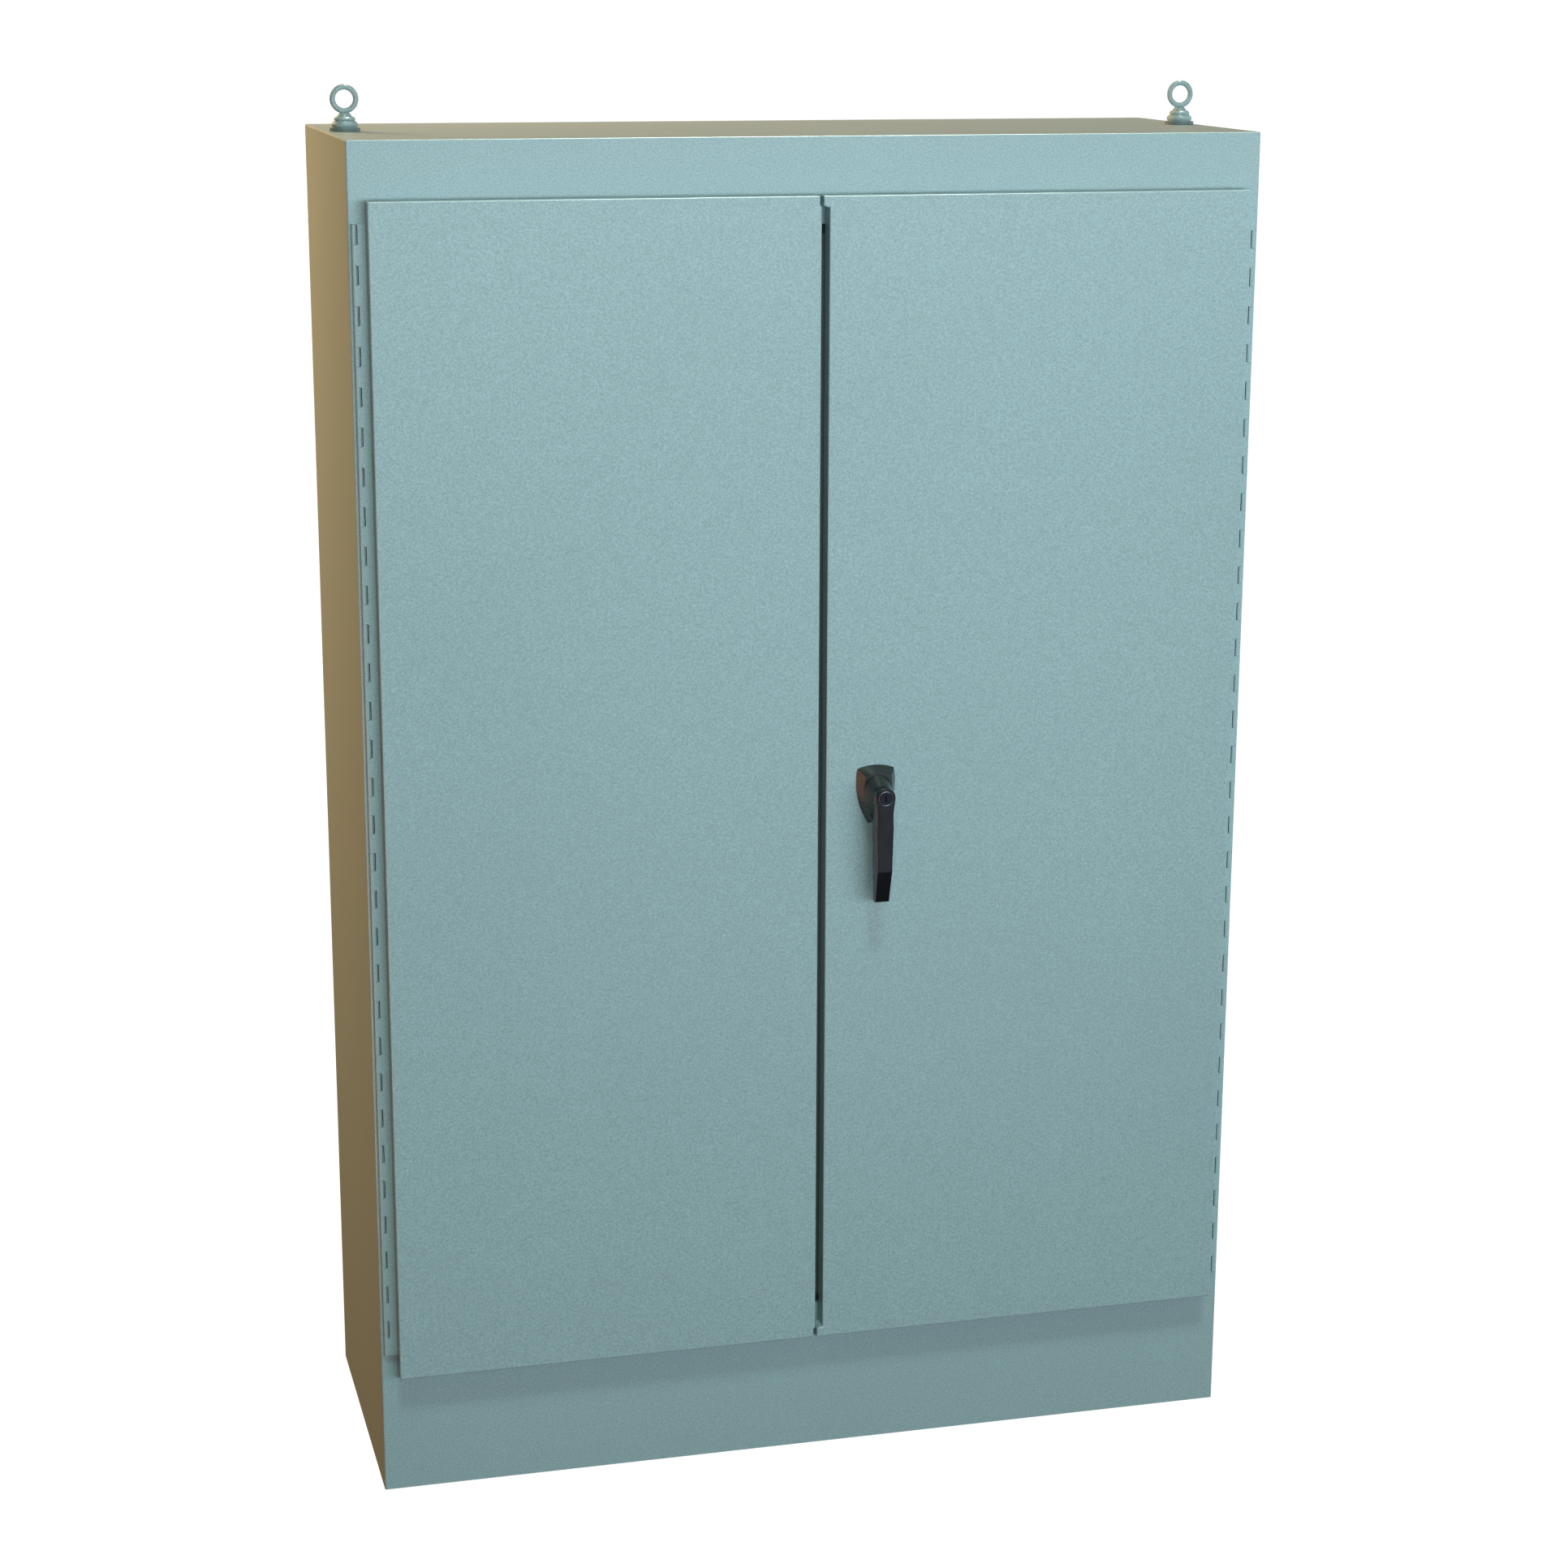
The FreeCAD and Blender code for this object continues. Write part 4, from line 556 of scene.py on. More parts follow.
def spot_welds(side, body):
    """Rows of weld dimples where the stiffeners' feet meet the door skin."""
    stiffeners = Span(side + "_door_stiffeners")
    skin, foot, width, margin, rows = stiffeners.y0 + 1.5, 6.0, 50.0, 40.0, 12
    length = stiffeners.z1 - stiffeners.z0 - 2 * margin
    welds = Piece(side + "_door_spot_welds")
    for x in (stiffeners.x0 + foot, stiffeners.x0 + width - foot,
              stiffeners.x1 - width + foot, stiffeners.x1 - foot):
        for i in range(rows):
            z = stiffeners.z0 + margin + i * length / (rows - 1)
            welds.turned(x, z, [(3.4, skin), (3.0, skin + 0.35), (1.4, skin + 0.2)], steps=12)
    welds.done("cabinet_paint", paint, body=body)


def pocket_manual():
    """A folded manual that stands in the document pocket, its leaves a little uneven."""
    pocket = Span("document_pocket")
    leaves, leaf, pitch, width = 7, 0.9, 1.7, 148.0
    sheets = Piece("pocket_manual")
    for i in range(leaves):
        x0 = pocket.x0 + 16 + (i * 5) % 4
        top = pocket.z1 + 24 - (i * 7) % 5
        front = pocket.y0 + 6 + pitch * i
        sheets.block(x0, x0 + width, pocket.z0 + 6, top, front, front + leaf)
    sheets.done("moulded_grey", paper, bevel=0.2, body="right_door")


# ---------------- switching section

POLE_PITCH = 70.0
POLES = [Span("normal_switch_case").x0 + POLE_PITCH * (i + 0.5) for i in range(3)]

# The terminals at a case's two ends: their height, and how far they lie behind its front.
TERMINAL_HEIGHT = 72.0
TERMINAL_DEPTH = 40.0
# How far in front of the case its details start, just inside the cover plate.
COVER = 1.4


def case_cover(side, case):
    """The raised cover plate and the collar of the toggle's slot."""
    low, high, front, slot_x = case.z0 + TERMINAL_HEIGHT, case.z1 - TERMINAL_HEIGHT, case.y0, POLES[1]
    cover = Piece(side + "_cover")
    cover.window((case.x0 + 7, case.x1 - 7, low + 7, high - 7),
                 (slot_x - 22, slot_x + 22, case.z - 42, case.z + 42), front - 1.6, front)
    cover.done("moulded_black", charcoal, bevel=0.7)
    collar = Piece(side + "_slot_collar")
    collar.window((slot_x - 20, slot_x + 20, case.z - 40, case.z + 40),
                  (slot_x - 14, slot_x + 14, case.z - 30, case.z + 30), front - 4.5, front)
    collar.done("moulded_black", black_mould, bevel=1.2)


def case_vents(side, case):
    """Five vent ribs over each pole's arc chute."""
    ribs = Piece(side + "_vent_ribs")
    for x in POLES:
        for i in range(5):
            z = case.z1 - TERMINAL_HEIGHT - 16 - 6.5 * i
            ribs.block(x - 26, x + 26, z - 1.6, z + 1.6, case.y0 - 3.2, case.y0 - COVER)
    ribs.done("moulded_black", black_mould, bevel=0.6)


def case_dials(side, case):
    """Four trip dials with slots and pointers, in a framed bed."""
    front, z = case.y0, case.z0 + TERMINAL_HEIGHT + 42
    bed = Piece(side + "_dial_bed")
    bed.window((case.x0 + 20, case.x0 + 132, z - 18, z + 18),
               (case.x0 + 24, case.x0 + 128, z - 14, z + 14), front - 3.2, front - COVER)
    bed.done("moulded_grey", grey_mould, bevel=0.6)
    dials = Piece(side + "_trip_dials")
    for i in range(4):
        x = case.x0 + 39 + 25 * i
        dials.turned(x, z, rising(front, (7.6, COVER), (7.6, 2.6), (6.0, 3.0), (5.6, 3.0), (5.0, 2.4),
                                  (1.4, 2.4, 4), (1.4, 1.6, 4)))
        dials.block(x - 0.7, x + 0.7, z + 1.5, z + 5.2, front - 3.0, front - 2.2)
    dials.done("moulded_grey", terminal_plastic)


def case_signs(side, case):
    """The trip button, and the two flags that show whether the contacts are closed; the flags glow a little,
    as painted light.
    """
    front = case.y0
    trip = Piece(side + "_trip_button")
    trip.turned(case.x1 - 24, case.z + 62, rising(front, (6.5, COVER), (6.5, 3.6), (5.7, 4.2), (0.6, 4.4)))
    trip.done("button_red", red_gloss)
    # The flags use the lamp materials and so glow, though they are no lamps: painted light.
    for flag, lift, material in (("closed", 16, lamp_red), ("open", -16, lamp_green)):
        z = case.z + lift
        window = Piece(f"{side}_{flag}_flag")
        window.block(POLES[1] - 46, POLES[1] - 28, z - 6, z + 6, front - 2.2, front - COVER)
        window.done("display", material, bevel=0.4)


def case_fixings(side, case):
    """Cover screws, terminal screws and the fibre barriers between the poles."""
    terminal = case.y0 + TERMINAL_DEPTH
    screws = Piece(side + "_case_screws")
    for x in (case.x0 + 16, case.x1 - 16):
        for z in (case.z0 + TERMINAL_HEIGHT + 16, case.z1 - TERMINAL_HEIGHT - 52):
            socket_screw(screws, x, z, case.y0 - COVER, radius=4.2, rise=1.8)
    for x in POLES:
        for z in (case.z0 + 30, case.z1 - 30):
            socket_screw(screws, x + 12, z, terminal, radius=3.6, rise=2.0)
    screws.done("zinc", zinc)
    barriers = Piece(side + "_phase_barriers")
    for x in (POLES[0] + POLE_PITCH / 2, POLES[1] + POLE_PITCH / 2):
        for low, high in ((case.z0 - 36, case.z0 + 60), (case.z1 - 60, case.z1 + 38)):
            barriers.block(x - 1.1, x + 1.1, low, high, terminal + 2, terminal + 40)
    barriers.done("moulded_grey", fibre_grey, bevel=0.4)


def case_front(side):
    """Everything on the front of one switch case."""
    case = Span(side + "_switch_case")
    case_cover(side, case)
    case_vents(side, case)
    case_dials(side, case)
    case_signs(side, case)
    case_fixings(side, case)


def lug_screws():
    """Hexagon-socket clamp screws, sunk in the lugs' holes."""
    lugs, bars = Span("cable_lugs"), Span("load_busbars")
    screws = Piece("lug_clamp_screws")
    for x in POLES:
        for z in (lugs.z0 + 20, bars.z0 + 47, lugs.z1 - 20):
            screws.turned(x, z, rising(lugs.y0, (5.7, -9), (5.7, -2.4), (5.1, -1.8), (3.0, -1.8, HEXAGON),
                                       (3.0, -6.5, HEXAGON)))
    screws.done("steel", ground_steel)


def sheds(start, end, first, count, foot, stem, reach):
    """The profile of a ribbed insulator: a stem with a bulging shed every 7 mm."""
    rows = [(foot, start)]
    for i in range(count):
        y = first + 7 * i
        rows += [(stem, y), (reach, y + 1.0), (reach, y + 2.6), (stem, y + 3.6)]
    return rows + [(foot, end)]


def busbar_fixings():
    """Bolts on the load busbars, and the insulators that carry them."""
    bars, base = Span("load_busbars"), Span("switch_base_plate")
    post_z = bars.z1 - 78
    bolts = Piece("busbar_bolts")
    for x in POLES:
        for z in (bars.z0 + 13, post_z, bars.z1 - 14):
            hex_bolt(bolts, x, z, bars.y0)
    bolts.done("zinc", zinc, bevel=0.3)
    posts = Piece("busbar_insulators")
    for x in POLES:
        posts.turned(x, post_z, sheds(bars.y1, base.y0, bars.y1 + 3, count=3, foot=9.0, stem=9.0, reach=12.5))
    posts.done("button_red", insulator_red)


def motor_trim():
    """Cooling rings, end cap, screws and terminal box of the operator motor."""
    motor, pinion = Span("operator_motor"), Span("operator_pinion")
    x, z = pinion.x, pinion.z
    shell = (motor.z1 - motor.z0) / 2
    front, rear = motor.y0 + 20, motor.y0 + 99
    fins = Piece("motor_fins")
    for i in range(8):
        y = front + 8.5 * i
        section = [(shell - 1, y), (shell + 2.2, y + 0.4), (shell + 2.2, y + 2.2), (shell - 1, y + 2.6)]
        fins.turned(x, z, section, steps=48, closed=True)
    fins.done("motor_grey", motor_enamel)
    cap = Piece("motor_end_cap")
    cap.turned(x, z, [(shell - 2, rear), (shell - 2, rear + 3), (shell - 6, rear + 5), (12, rear + 5),
                      (11, rear + 2)], steps=48)
    cap.done("motor_grey", motor_enamel)
    screws = Piece("motor_screws")
    for angle in (45, 135, 225, 315):
        turn = math.radians(angle)
        socket_screw(screws, x + 29 * math.cos(turn), z + 29 * math.sin(turn), motor.y0, radius=3.4, rise=2.4)
    for foot_z in (motor.z0 + 14, motor.z1 - 14):
        socket_screw(screws, motor.x1 - 8, foot_z, motor.y1 - 4, rise=3.0)
    screws.done("zinc", zinc)
    box = Piece("motor_terminal_box")
    box.block(x - 16, x + 16, z + shell - 4, z + shell + 10, motor.y0 + 60, motor.y0 + 92)
    box.done("motor_grey", motor_enamel, bevel=1.5)


def slide_guide_screws():
    """Two screws in each of the four guides of the transfer slide."""
    guides, upper, lower = Span("slide_guides"), Span("normal_switch_case"), Span("emergency_switch_case")
    screws = Piece("slide_guide_screws")
    for z in (guides.z0 + 6, lower.z1 - 10, upper.z0 + 10, guides.z1 - 6):
        for x in (guides.x0 + 5.5, guides.x1 - 5.5):
            socket_screw(screws, x, z, guides.y0, radius=3.0, rise=1.8)
    screws.done("zinc", zinc)


# ---------------- control section

DUCT_WIDTH = 40.0


def display_trim():
    """The display's bezel, and the one-line diagram and bars of a reading on its screen."""
    face, screen = Span("controller_case").y0, Span("controller_display")
    front, back = screen.y0 - 0.25, screen.y0 + 0.05
    bezel = Piece("display_bezel")
    bezel.window((screen.x0 - 9, screen.x1 + 9, screen.z0 - 9, screen.z1 + 9),
                 (screen.x0, screen.x1, screen.z0, screen.z1), face - 2.4, face)
    bezel.done("moulded_black", black_mould, bevel=1.0)
    strokes = [(39, 105, 44, 46), (71, 73, 24, 44), (58, 86, 22, 24)]
    for source in (28, 92):
        middle = source + 12
        strokes += [(source, source + 24, 96, 98), (middle - 1, middle + 1, 70, 96),
                    (middle - 4, middle + 4, 62, 70), (middle - 1, middle + 1, 46, 62)]
    for i, length in enumerate((44, 38, 41, 26, 33)):
        strokes.append((142, 142 + length, 92 - 16 * i, 96 - 16 * i))
    ink = Piece("display_lines")
    for x0, x1, z0, z1 in strokes:
        ink.block(screen.x0 + x0, screen.x0 + x1, screen.z0 + z0, screen.z0 + z1, front, back)
    ink.window((screen.x0 + 8, screen.x1 - 8, screen.z0 + 8, screen.z1 - 8),
               (screen.x0 + 9, screen.x1 - 9, screen.z0 + 9, screen.z1 - 9), front, back)
    ink.done("display", screen_ink)


def controller_lamps():
    """Five lamps in bright seats, in a row under the display."""
    face, screen = Span("controller_case").y0, Span("controller_display")
    z, pitch = screen.z0 - 26, 36
    seats = Piece("lamp_seats")
    for name, places, material in (("lamps_green", (0, 3), lamp_green), ("lamps_amber", (1, 4), lamp_amber),
                                   ("lamps_red", (2,), lamp_red)):
        lamps = Piece(name)
        for place in places:
            x = screen.x0 + 28 + pitch * place
            seat = rising(face, (4.0, 0), (4.0, 1.4), (4.8, 1.6), (5.4, 1.2), (5.6, 0))
            seats.turned(x, z, seat, closed=True)
            lamps.turned(x, z, rising(face, (3.8, -0.4), (3.8, 1.6), (3.2, 2.8), (2.0, 3.6), (0.5, 3.9)))
        lamps.done("display", material)
    seats.done("zinc", bright_steel)


def controller_keys():
    """A cross of five keys, the test button's ring and the case's corner screws."""
    case, button = Span("controller_case"), Span("test_button")
    face = case.y0
    keys = Piece("controller_keys")
    for u, v in ((0, 0), (-19, 0), (19, 0), (0, 15), (0, -15)):
        x, z = case.x + u, button.z + v
        keys.block(x - 7.5, x + 7.5, z - 5.5, z + 5.5, face - 2.4, face)
    keys.done("moulded_black", charcoal, bevel=1.6)
    ring = Piece("button_ring")
    section = rising(face, (9.2, 0), (9.2, 1.8), (10.4, 2.4), (12.4, 1.6), (12.8, 0))
    ring.turned(button.x, button.z, section, steps=40, closed=True)
    ring.done("zinc", bright_steel)
    screws = Piece("controller_screws")
    for x, z in case.corners(inset=12):
        socket_screw(screws, x, z, face, rise=1.8)
    screws.done("zinc", zinc)


def selector_trim():
    """Three marks around the mode selector, and the pointer on its knob."""
    face, knob = Span("controller_case").y0, Span("mode_selector")
    centre_z = knob.z1 - (knob.x1 - knob.x0) / 2
    inner, outer, half = 20, 26, 0.9
    scale = Piece("selector_scale")
    for angle in (-45, 0, 45):
        turn = math.radians(90 + angle)
        sine, cosine = math.sin(turn), math.cos(turn)
        corners = ((inner, -half), (outer, -half), (outer, half), (inner, half))
        scale.prism([(knob.x + cosine * r - sine * h, centre_z + sine * r + cosine * h) for r, h in corners],
                    face - 0.5, face + 0.1)
    scale.done("moulded_grey", marker_white)
    pointer = Piece("selector_pointer")
    pointer.block(knob.x - half, knob.x + half, knob.z + 3, knob.z + 15, knob.y0 - 0.4, knob.y0 + 0.2)
    pointer.done("moulded_grey", marker_white, bevel=0.15, body="selector")


def no_routes():
    """An empty list of routes for each colour of wire in the looms."""
    return {"red": [], "blue": [], "white": [], "black": []}


def controller_plugs():
    """Plug-in terminal rows under the controller, and their wires into the duct below."""
    case = Span("controller_case")
    y, bottom, front = case.y0 + 33, case.z0, case.y0 + 22
    plugs, screws = Piece("controller_plugs"), Piece("controller_plug_screws")
    routes = no_routes()
    for row, start in enumerate((case.x0 + 18, case.x0 + 132)):
        plugs.block(start, start + 100, bottom - 12, bottom, front, case.y0 + 44)
        for i in range(10):
            x = start + 5 + 10 * i
            lean = 3 * math.sin(2.1 * i + row)
            socket_screw(screws, x, bottom - 5, front, radius=2.2, rise=0.8)
            plugs.block(x - 3.8, x + 3.8, bottom - 14, bottom - 11, front + 3, front + 18)
            routes[list(routes)[(i + row) % 4]].append([
                (x, y, bottom - 10), (x, y - 1, bottom - 18), (x + lean, y + 3, bottom - 24),
                (x + lean, y + 6, bottom - 32)])
    plugs.done("moulded_grey", plug_green, bevel=0.5)
    screws.done("zinc", zinc)
    loom("controller_wires", routes, 1.3)


def transformer_trim():
    """Wound coil tape, terminal strips, bolts and the leads up to the duct, on both transformers."""
    block = Span("control_transformers")
    starts, terminals = (block.x0 + 10, block.x0 + 180), 6
    tape, strips = Piece("transformer_windings"), Piece("transformer_terminals")
    bolts = Piece("transformer_bolts")
    for x in starts:
        tape.block(x + 27, x + 93, block.z0 + 17, block.z1 - 17, block.y0 - 1.2, block.y0 + 9)
        for i in range(9):
            z = block.z0 + 22 + 7 * i
            tape.block(x + 26.4, x + 93.6, z - 1.6, z + 1.6, block.y0 - 1.8, block.y0 + 9)
        strips.block(x + 12, x + 108, block.z1, block.z1 + 13, block.y0 + 26, block.y0 + 48)
        for i in range(terminals + 1):
            u = x + 12 + 16 * i
            strips.block(u - 0.9, u + 0.9, block.z1 + 2, block.z1 + 17, block.y0 + 22, block.y0 + 48)
        for i in range(terminals):
            socket_screw(bolts, x + 20 + 16 * i, block.z1 + 7, block.y0 + 26, radius=3.4, rise=1.8)
        for u in (x + 10, x + 110):
            for z in (block.z0 + 10, block.z1 - 10):
                hex_bolt(bolts, u, z, block.y0 + 10, across=10, rise=4, washer=7.5)
    tape.done("core", winding_tape, bevel=0.9)
    strips.done("moulded_black", black_mould, bevel=0.4)
    bolts.done("zinc", zinc)
    y, top = block.y0 + 24, block.z1
    for first, colour in enumerate(("black", "red", "white")):
        leads = [x + 20 + 16 * i for x in starts for i in (first, first + 3)]
        routes = [[(u, y, top + 7), (u, y - 5, top + 16), (u + 3, y + 12, top + 28), (u + 4, y + 40, top + 36),
                   (u + 4, y + 42, top + 48)] for u in leads]
        wires("transformer_wires_" + colour, routes, 1.5, colour)


def terminal_row():
    """Screws, markers and bridges on the terminals, and the wires that leave below, in six lanes."""
    row = Span("terminal_blocks")
    pitch, count, gap = 8.0, 22, 0.4
    front, duct_edge = row.y0, Span("wire_ducts").x0 + DUCT_WIDTH - 1
    screws, markers = Piece("terminal_screws"), Piece("terminal_markers")
    routes = no_routes()
    for i in range(count):
        x = row.x0 + pitch * i + (pitch - gap) / 2
        for z in (row.z0 + 9, row.z1 - 16):
            socket_screw(screws, x, z, front, radius=2.5, rise=0.7)
        markers.block(x - 3.2, x + 3.2, row.z - 3, row.z + 3, front - 0.8, front + 0.3)
        layer, lane = divmod(i, 6)
        y, z = front + 12 + 3.0 * layer, row.z0 - 26 - 3.0 * lane
        routes[list(routes)[(i * 3 + layer) % 4]].append([
            (x, front + 8, row.z0 + 4), (x, front + 8, row.z0 - 8), (x, y, z + 6), (x - 8, y, z),
            (max(x - 30, duct_edge + 6), y, z), (duct_edge - 4, y, z)])
    screws.done("zinc", zinc)
    markers.done("moulded_grey", marker_white, bevel=0.2)
    bridge = Piece("terminal_bridge")
    for first, last in ((0, 5), (9, 13)):
        bridge.block(row.x0 + pitch * first + 1.5, row.x0 + pitch * last - 2, row.z1 - 27, row.z1 - 23,
                     front - 1.6, front + 0.3)
    bridge.done("button_red", red_gloss, bevel=0.3)
    loom("terminal_wires", routes, 1.4)


def rail_end_stops():
    """Screwed stops at both ends of the terminals and of the fuse holders."""
    row, fuses = Span("terminal_blocks"), Span("fuse_holders")
    front = row.y0 + 16
    stops = Piece("rail_end_stops")
    for x in (row.x0 - 9, row.x1 + 1, fuses.x0 - 9, fuses.x1 + 1):
        stops.block(x, x + 8, row.z - 22, row.z + 22, front, front + 27)
        socket_screw(stops, x + 4, row.z, front, radius=3.0, rise=1.2)
    stops.done("terminal_grey", grey_mould, bevel=0.5)


def fuse_row():
    """Pull levers and tell-tale windows on the fuse holders, and the wires that leave above."""
    row = Span("fuse_holders")
    pitch, count, gap = 18.0, 6, 0.4
    duct_x, front = Span("wire_ducts").x1 - DUCT_WIDTH + 3, row.y0
    levers, tells = Piece("fuse_levers"), Piece("fuse_tell_tales")
    routes = []
    for i in range(count):
        x = row.x0 + pitch * i + (pitch - gap) / 2
        levers.prism([(x - 6.4, row.z - 24), (x + 6.4, row.z - 24), (x + 6.4, row.z + 10),
                      (x + 4.6, row.z + 18), (x - 4.6, row.z + 18), (x - 6.4, row.z + 10)], front - 3.5, front)
        levers.block(x - 4.6, x + 4.6, row.z - 24, row.z - 18, front - 7.5, front - 3)
        tells.turned(x, row.z + 12, rising(front, (2.0, 3.2), (2.0, 4.2), (1.2, 4.9), (0.3, 5.0)), steps=16)
        y, z = front + 24, row.z1 + 22 + 4.0 * i
        routes.append([(x, front + 12, row.z1 - 4), (x, front + 12, row.z1 + 10), (x, y, z - 4), (x + 8, y, z),
                       (duct_x - 21, y, z), (duct_x, y, z)])
    levers.done("fuse_black", charcoal, bevel=0.9)
    tells.done("button_red", lamp_red)
    wires("fuse_wires_black", routes[::2], 1.5, "black")
    wires("fuse_wires_red", routes[1::2], 1.5, "red")


def bar_screws(side, material):
    """Clamp screws in the drilled holes of a terminal bar."""
    bar = Span(side + "_bar")
    screws = Piece(side + "_bar_screws")
    for i in range(1, 12):
        socket_screw(screws, bar.x0 + 25 * i, bar.z, bar.y0 + 3, radius=3.8, rise=4.2)
    screws.done("zinc", material)


def neutral_sheds():
    """Ribbed insulators over the neutral bar's supports."""
    bar = Span("neutral_bar")
    insulators = Piece("neutral_insulators")
    profile = sheds(bar.y0 + 10.5, bar.y1 - 0.5, bar.y0 + 13, count=4, foot=13.0, stem=14.3, reach=17.5)
    for x in (bar.x0 + 12, bar.x1 - 12):
        insulators.turned(x, bar.z, profile, steps=32)
    insulators.done("button_red", insulator_red)


def duct_trim():
    """Snap-on covers along the ducts' fronts, and black strips of painted shade where the open slots lie
    between the fingers of their sides.
    """
    ducts = Span("wire_ducts")
    left, right = ducts.x0 + DUCT_WIDTH, ducts.x1 - DUCT_WIDTH
    lip, pitch, gap, skin = 0.8, 12.5, 5.0, 0.25
    covers, slots = Piece("duct_covers"), Piece("duct_slot_shade_strips")
    for x, bottom in ((ducts.x0, ducts.z0), (right, ducts.z0 + 300)):
        covers.block(x - lip, x + DUCT_WIDTH + lip, bottom, ducts.z1, ducts.y0 - 2.2, ducts.y0 + 4)
        for i in range(int((ducts.z1 - bottom) / pitch)):
            z = bottom + pitch * (i + 0.5) - gap / 2
            for wall in (x, x + DUCT_WIDTH):
                slots.block(wall - skin, wall + skin, z, z + gap, ducts.y0 + 12, ducts.y1 - 8)
    start, end = left + 2, right - 2
    for top in (ducts.z1, ducts.z1 - 420):
        covers.block(start, end, top - DUCT_WIDTH - lip, top + lip, ducts.y0 - 2.2, ducts.y0 + 4)
        for i in range(int((end - start) / pitch)):
            x = start + pitch * (i + 0.5) - gap / 2
            for wall in (top - DUCT_WIDTH, top):
                slots.block(x, x + gap, wall - skin, wall + skin, ducts.y0 + 12, ducts.y1 - 8)
    covers.done("duct_grey", duct_plastic, bevel=0.8)
    slots.done("moulded_black", black_mould)


def harness():
    """Control wiring from the switch cases and the motor across the panel to the left duct."""
    duct_x, panel = Span("wire_ducts").x0 + 1, Span("mounting_panel").y0
    outlets, ties, mounts = Piece("aux_outlets", "X"), Piece("cable_ties", "X"), Piece("tie_mounts")

    def tie(x, y, z, inner, outer, lift):
        """A cable tie around a bundle, on a pad that stands `lift` off the panel."""
        ties.turned(y, z, [(inner, x), (outer, x), (outer, x + 3.4), (inner, x + 3.4)], closed=True)
        mounts.block(x - 7, x + 10, z - 9, z + 9, panel - lift, panel)

    bundles = no_routes()
    for side in ("normal", "emergency"):
        case = Span(side + "_switch_case")
        z, y, x = case.z - 90, case.y1 - 44, case.x1
        outlets.turned(y, z, [(9.0, x - 1), (9.0, x + 3), (7.0, x + 6), (5.4, x + 6), (5.0, x + 1)])
        for i, colour in enumerate(list(bundles) * 2):
            turn = math.radians(45 * i)
            u, v = 3.1 * math.cos(turn), 3.1 * math.sin(turn)
            lane = panel - 8 + u
            bundles[colour].append([(x + 2, y + u, z + v), (x + 22, y + u, z + v), (x + 48, lane, z + v),
                                    (x + 76, lane, z + v), (-40.0, lane, z + v), (duct_x, lane, z + v)])
        for place in (-106.0, -62.0, -18.0, 20.0):
            tie(place, panel - 8, z, 5.0, 5.9, lift=2.4)
    z = Span("operator_motor").z0 - 12
    lead = [(-200.0, 118.0, 1090.0), (-196.0, 134.0, 1068.0), (-178.0, 152.0, z), (-140.0, panel - 9, z),
            (-100.0, panel - 6, z), (-40.0, panel - 6, z), (duct_x, panel - 6, z)]
    for place in (-92.0, -36.0, 14.0):
        tie(place, panel - 6, z, 4.9, 5.6, lift=1.2)
    wires("motor_lead", [lead], 4.6, "black")
    loom("aux_wires", bundles, 1.3)
    outlets.done("nylon", nylon)
    ties.done("nylon", nylon)
    mounts.done("moulded_grey", marker_white, bevel=0.8)


key_rim()
eye_beads()
hinge_notch_shade_strips("left", "left_door", 0, -1)
hinge_notch_shade_strips("right", "right_door", 1, 1)
latch_fixings()
rod_guide_screws()
spot_welds("left", "left_door")
spot_welds("right", "right_door")
pocket_manual()
for side in ("normal", "emergency"):
    case_front(side)
lug_screws()
busbar_fixings()
motor_trim()
slide_guide_screws()
display_trim()
controller_lamps()
controller_keys()
selector_trim()
controller_plugs()
transformer_trim()
terminal_row()
rail_end_stops()
fuse_row()
bar_screws("neutral", zinc)
bar_screws("ground", plug_green)
neutral_sheds()
duct_trim()
harness()


# ---------------- floor, light and camera

def make_floor():
    """A white studio sweep: a round floor that curls up into a wall on every side."""
    shader = Shader("studio_floor")
    tone = shader.mix(shader.level(shader.noise(2.0), 0.0, 1.0), (0.03, 0.03, 0.03, 1), (0.05, 0.05, 0.05, 1))
    shader.finish(tone, 0.9, Emission_Color=(1, 1, 1, 1), Emission_Strength=0.985)
    flat_radius, curl_radius, wall_top, sides, curl_steps, sunk = 9.0, 3.0, 14.0, 64, 10, 0.0008
    profile = [(flat_radius, 0.0)]
    for i in range(1, curl_steps + 1):
        angle = math.radians(90 * i / curl_steps)
        profile.append((flat_radius + curl_radius * math.sin(angle), curl_radius * (1 - math.cos(angle))))
    profile.append((flat_radius + curl_radius, wall_top))
    turns = [2 * math.pi * i / sides for i in range(sides)]
    shape = bmesh.new()
    rings = [[shape.verts.new((radius * math.cos(a), radius * math.sin(a), z)) for a in turns]
             for radius, z in profile]
    shape.faces.new(rings[0])
    for low, high in zip(rings, rings[1:]):
        for i in range(sides):
            shape.faces.new((low[i - 1], low[i], high[i], high[i - 1]))
    bmesh.ops.recalc_face_normals(shape, faces=shape.faces)
    bmesh.ops.reverse_faces(shape, faces=shape.faces)
    mesh = bpy.data.meshes.new("floor")
    shape.to_mesh(mesh)
    shape.free()
    mesh.shade_smooth()
    mesh.materials.append(shader.material)
    floor = add_object("floor", mesh)
    floor.location.z = -sunk
    floor.visible_diffuse = False
    floor.visible_glossy = False
    floor.visible_shadow = False


def add_light(name, kind, heading, power, colour):
    """A light of one kind that shines along the heading."""
    data = bpy.data.lights.new(name, kind)
    data.energy = power
    data.color = colour
    light = add_object(name, data)
    light.rotation_euler = heading.to_track_quat("-Z", "Y").to_euler()
    return light


def area_light(name, place, target, size, power, colour):
    """A rectangular softbox that faces the target."""
    light = add_light(name, "AREA", Vector(target) - Vector(place), power, colour)
    light.location = place
    light.data.shape = "RECTANGLE"
    light.data.size, light.data.size_y = size
    return light


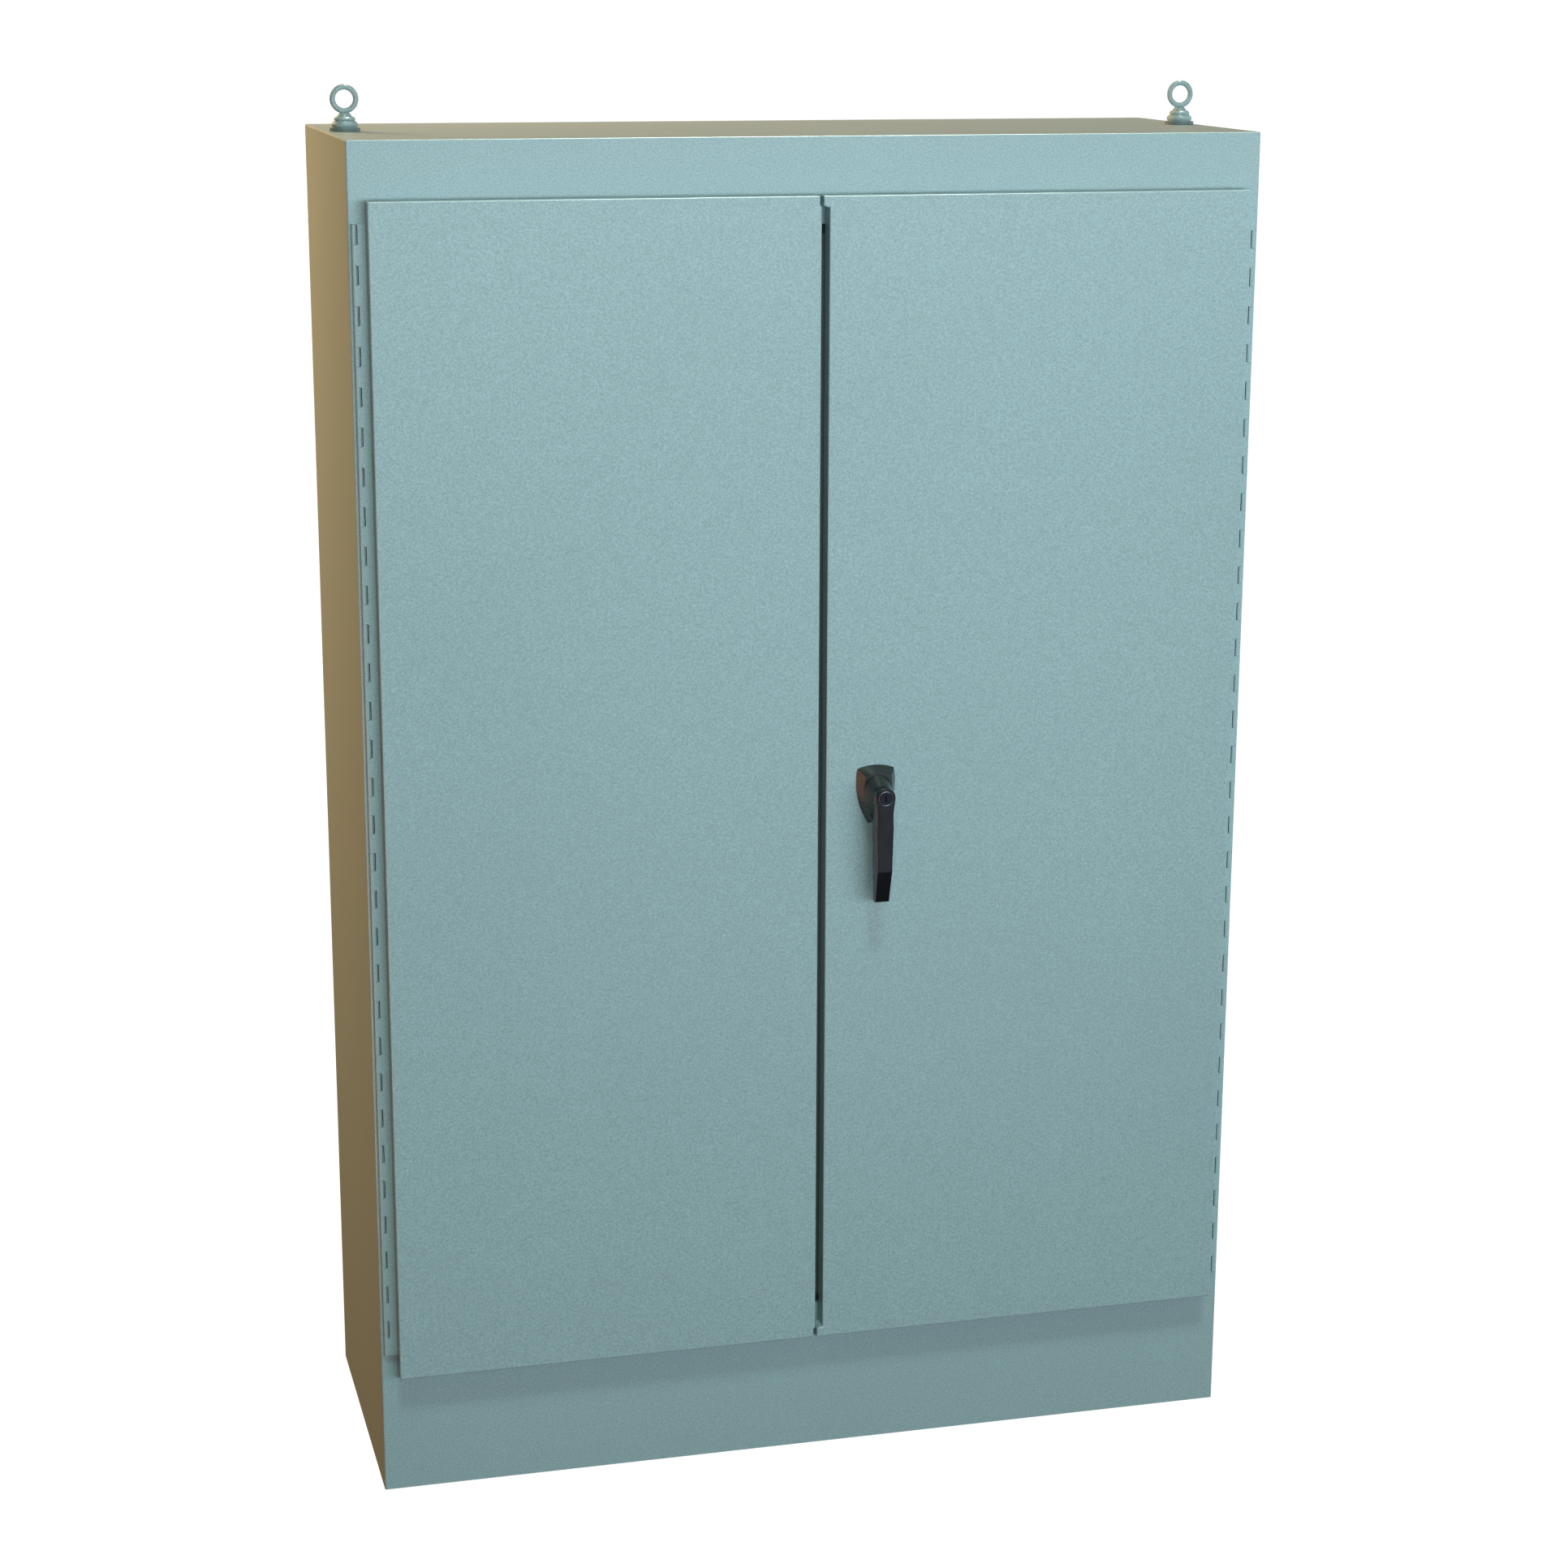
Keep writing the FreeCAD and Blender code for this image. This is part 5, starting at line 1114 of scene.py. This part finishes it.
def sun_light(name, heading, power, colour):
    """A broad sun, soft enough to leave no hard shadow."""
    light = add_light(name, "SUN", Vector(heading), power, colour)
    light.data.angle = math.radians(9)
    return light


COOL = (0.89, 0.985, 1.05)
WARM = (1.0, 0.55, 0.27)
EMBER = (1.0, 0.42, 0.18)
BLUE = (0.72, 0.8, 1.0)
HANDLE_PLACE = (0.07, -0.28, 0.96)


def make_lights():
    """Softboxes without glints of their own, a high sun, and cards and a second sun that only make glints."""
    key_light = area_light("key_light", (0.7, -4.6, 1.7), (0.5, -0.4, 4.7), (5.0, 1.2), 209, COOL)
    side_light = area_light("side_light", (-2.0, 2.2, 2.9), (-0.6, 0.1, 1.6), (1.2, 1.2), 228, WARM)
    sun_light("high_sun", (0.02, 0.44, -0.9), 0.95, (0.72, 1.0, 0.88))
    glint_sun = sun_light("glint_sun", (-0.25, -0.17, -0.96), 5.0, (0.9, 1.0, 0.9))
    roof_light = area_light("roof_light", (0.4, 2.6, 4.8), (0.2, 0.0, 1.8), (5.0, 2.0), 54, EMBER)
    fill_light = area_light("fill_light", (4.4, 0.8, 1.1), (0.6, 0.1, 1.0), (2.0, 2.0), 110, COOL)
    back_light = area_light("back_light", (1.2, 4.2, 1.2), (0.1, 0.23, 1.0), (3.0, 2.0), 75, BLUE)
    for light in (key_light, side_light, roof_light, fill_light, back_light):
        light.visible_glossy = False
    warm_card = area_light("warm_card", (-2.2, -0.85, 0.4), HANDLE_PLACE, (1.0, 1.4), 26, EMBER)
    blue_card = area_light("blue_card", (0.8, -3.1, 0.3), HANDLE_PLACE, (1.4, 1.4), 4.0, BLUE)
    key_card = area_light("key_card", (0.7, -4.5, 3.6), (0.3, -0.2, 2.9), (5.0, 1.6), 68, COOL)
    for card in (warm_card, blue_card, key_card, glint_sun):
        card.visible_diffuse = False


def make_world():
    """Soft ambient light: cool from the front and right, dim and warm from the left, dimmer from below."""
    world = bpy.data.worlds.new("studio")
    sky = Nodes(world)
    direction = sky.add("SeparateXYZ", Vector=sky.add("TexCoord").outputs["Generated"]).outputs
    from_right = sky.level(direction["X"], 0.0, 1.0, start=-0.1, end=0.15)
    from_side = sky.level(direction["Z"], 0.0, 1.0, start=0.85, end=0.45)
    coolness = sky.nodes.new("ShaderNodeMath")
    coolness.operation = "MULTIPLY"
    sky.feed(coolness.inputs[0], from_right)
    sky.feed(coolness.inputs[1], from_side)
    colour = sky.mix(coolness.outputs["Value"], (0.12, 0.06, 0.022, 1), (0.25, 0.268, 0.275, 1))
    background = sky.nodes["Background"]
    sky.feed(background.inputs["Color"], colour)
    sky.feed(background.inputs["Strength"], sky.level(direction["Z"], 0.4, 1.0, start=-0.6, end=0.4))
    bpy.context.scene.world = world


def make_camera():
    """A long lens from the front left, a little above the cabinet's top and tilted down."""
    place = (-1.0871, -4.2525, 2.0247)
    heading, tilt, roll = (math.radians(angle) for angle in (14.528, 14.219, 0.199))
    data = bpy.data.cameras.new("camera")
    data.lens = 72.98
    data.sensor_width = 36
    camera = add_object("camera", data)
    turn = Matrix.Rotation(-heading, 4, "Z") @ Matrix.Rotation(math.radians(90) - tilt, 4, "X")
    camera.matrix_world = Matrix.Translation(place) @ turn @ Matrix.Rotation(roll, 4, "Z")
    bpy.context.scene.camera = camera


bpy.context.scene.view_settings.view_transform = "Standard"
make_floor()
make_lights()
make_world()
make_camera()
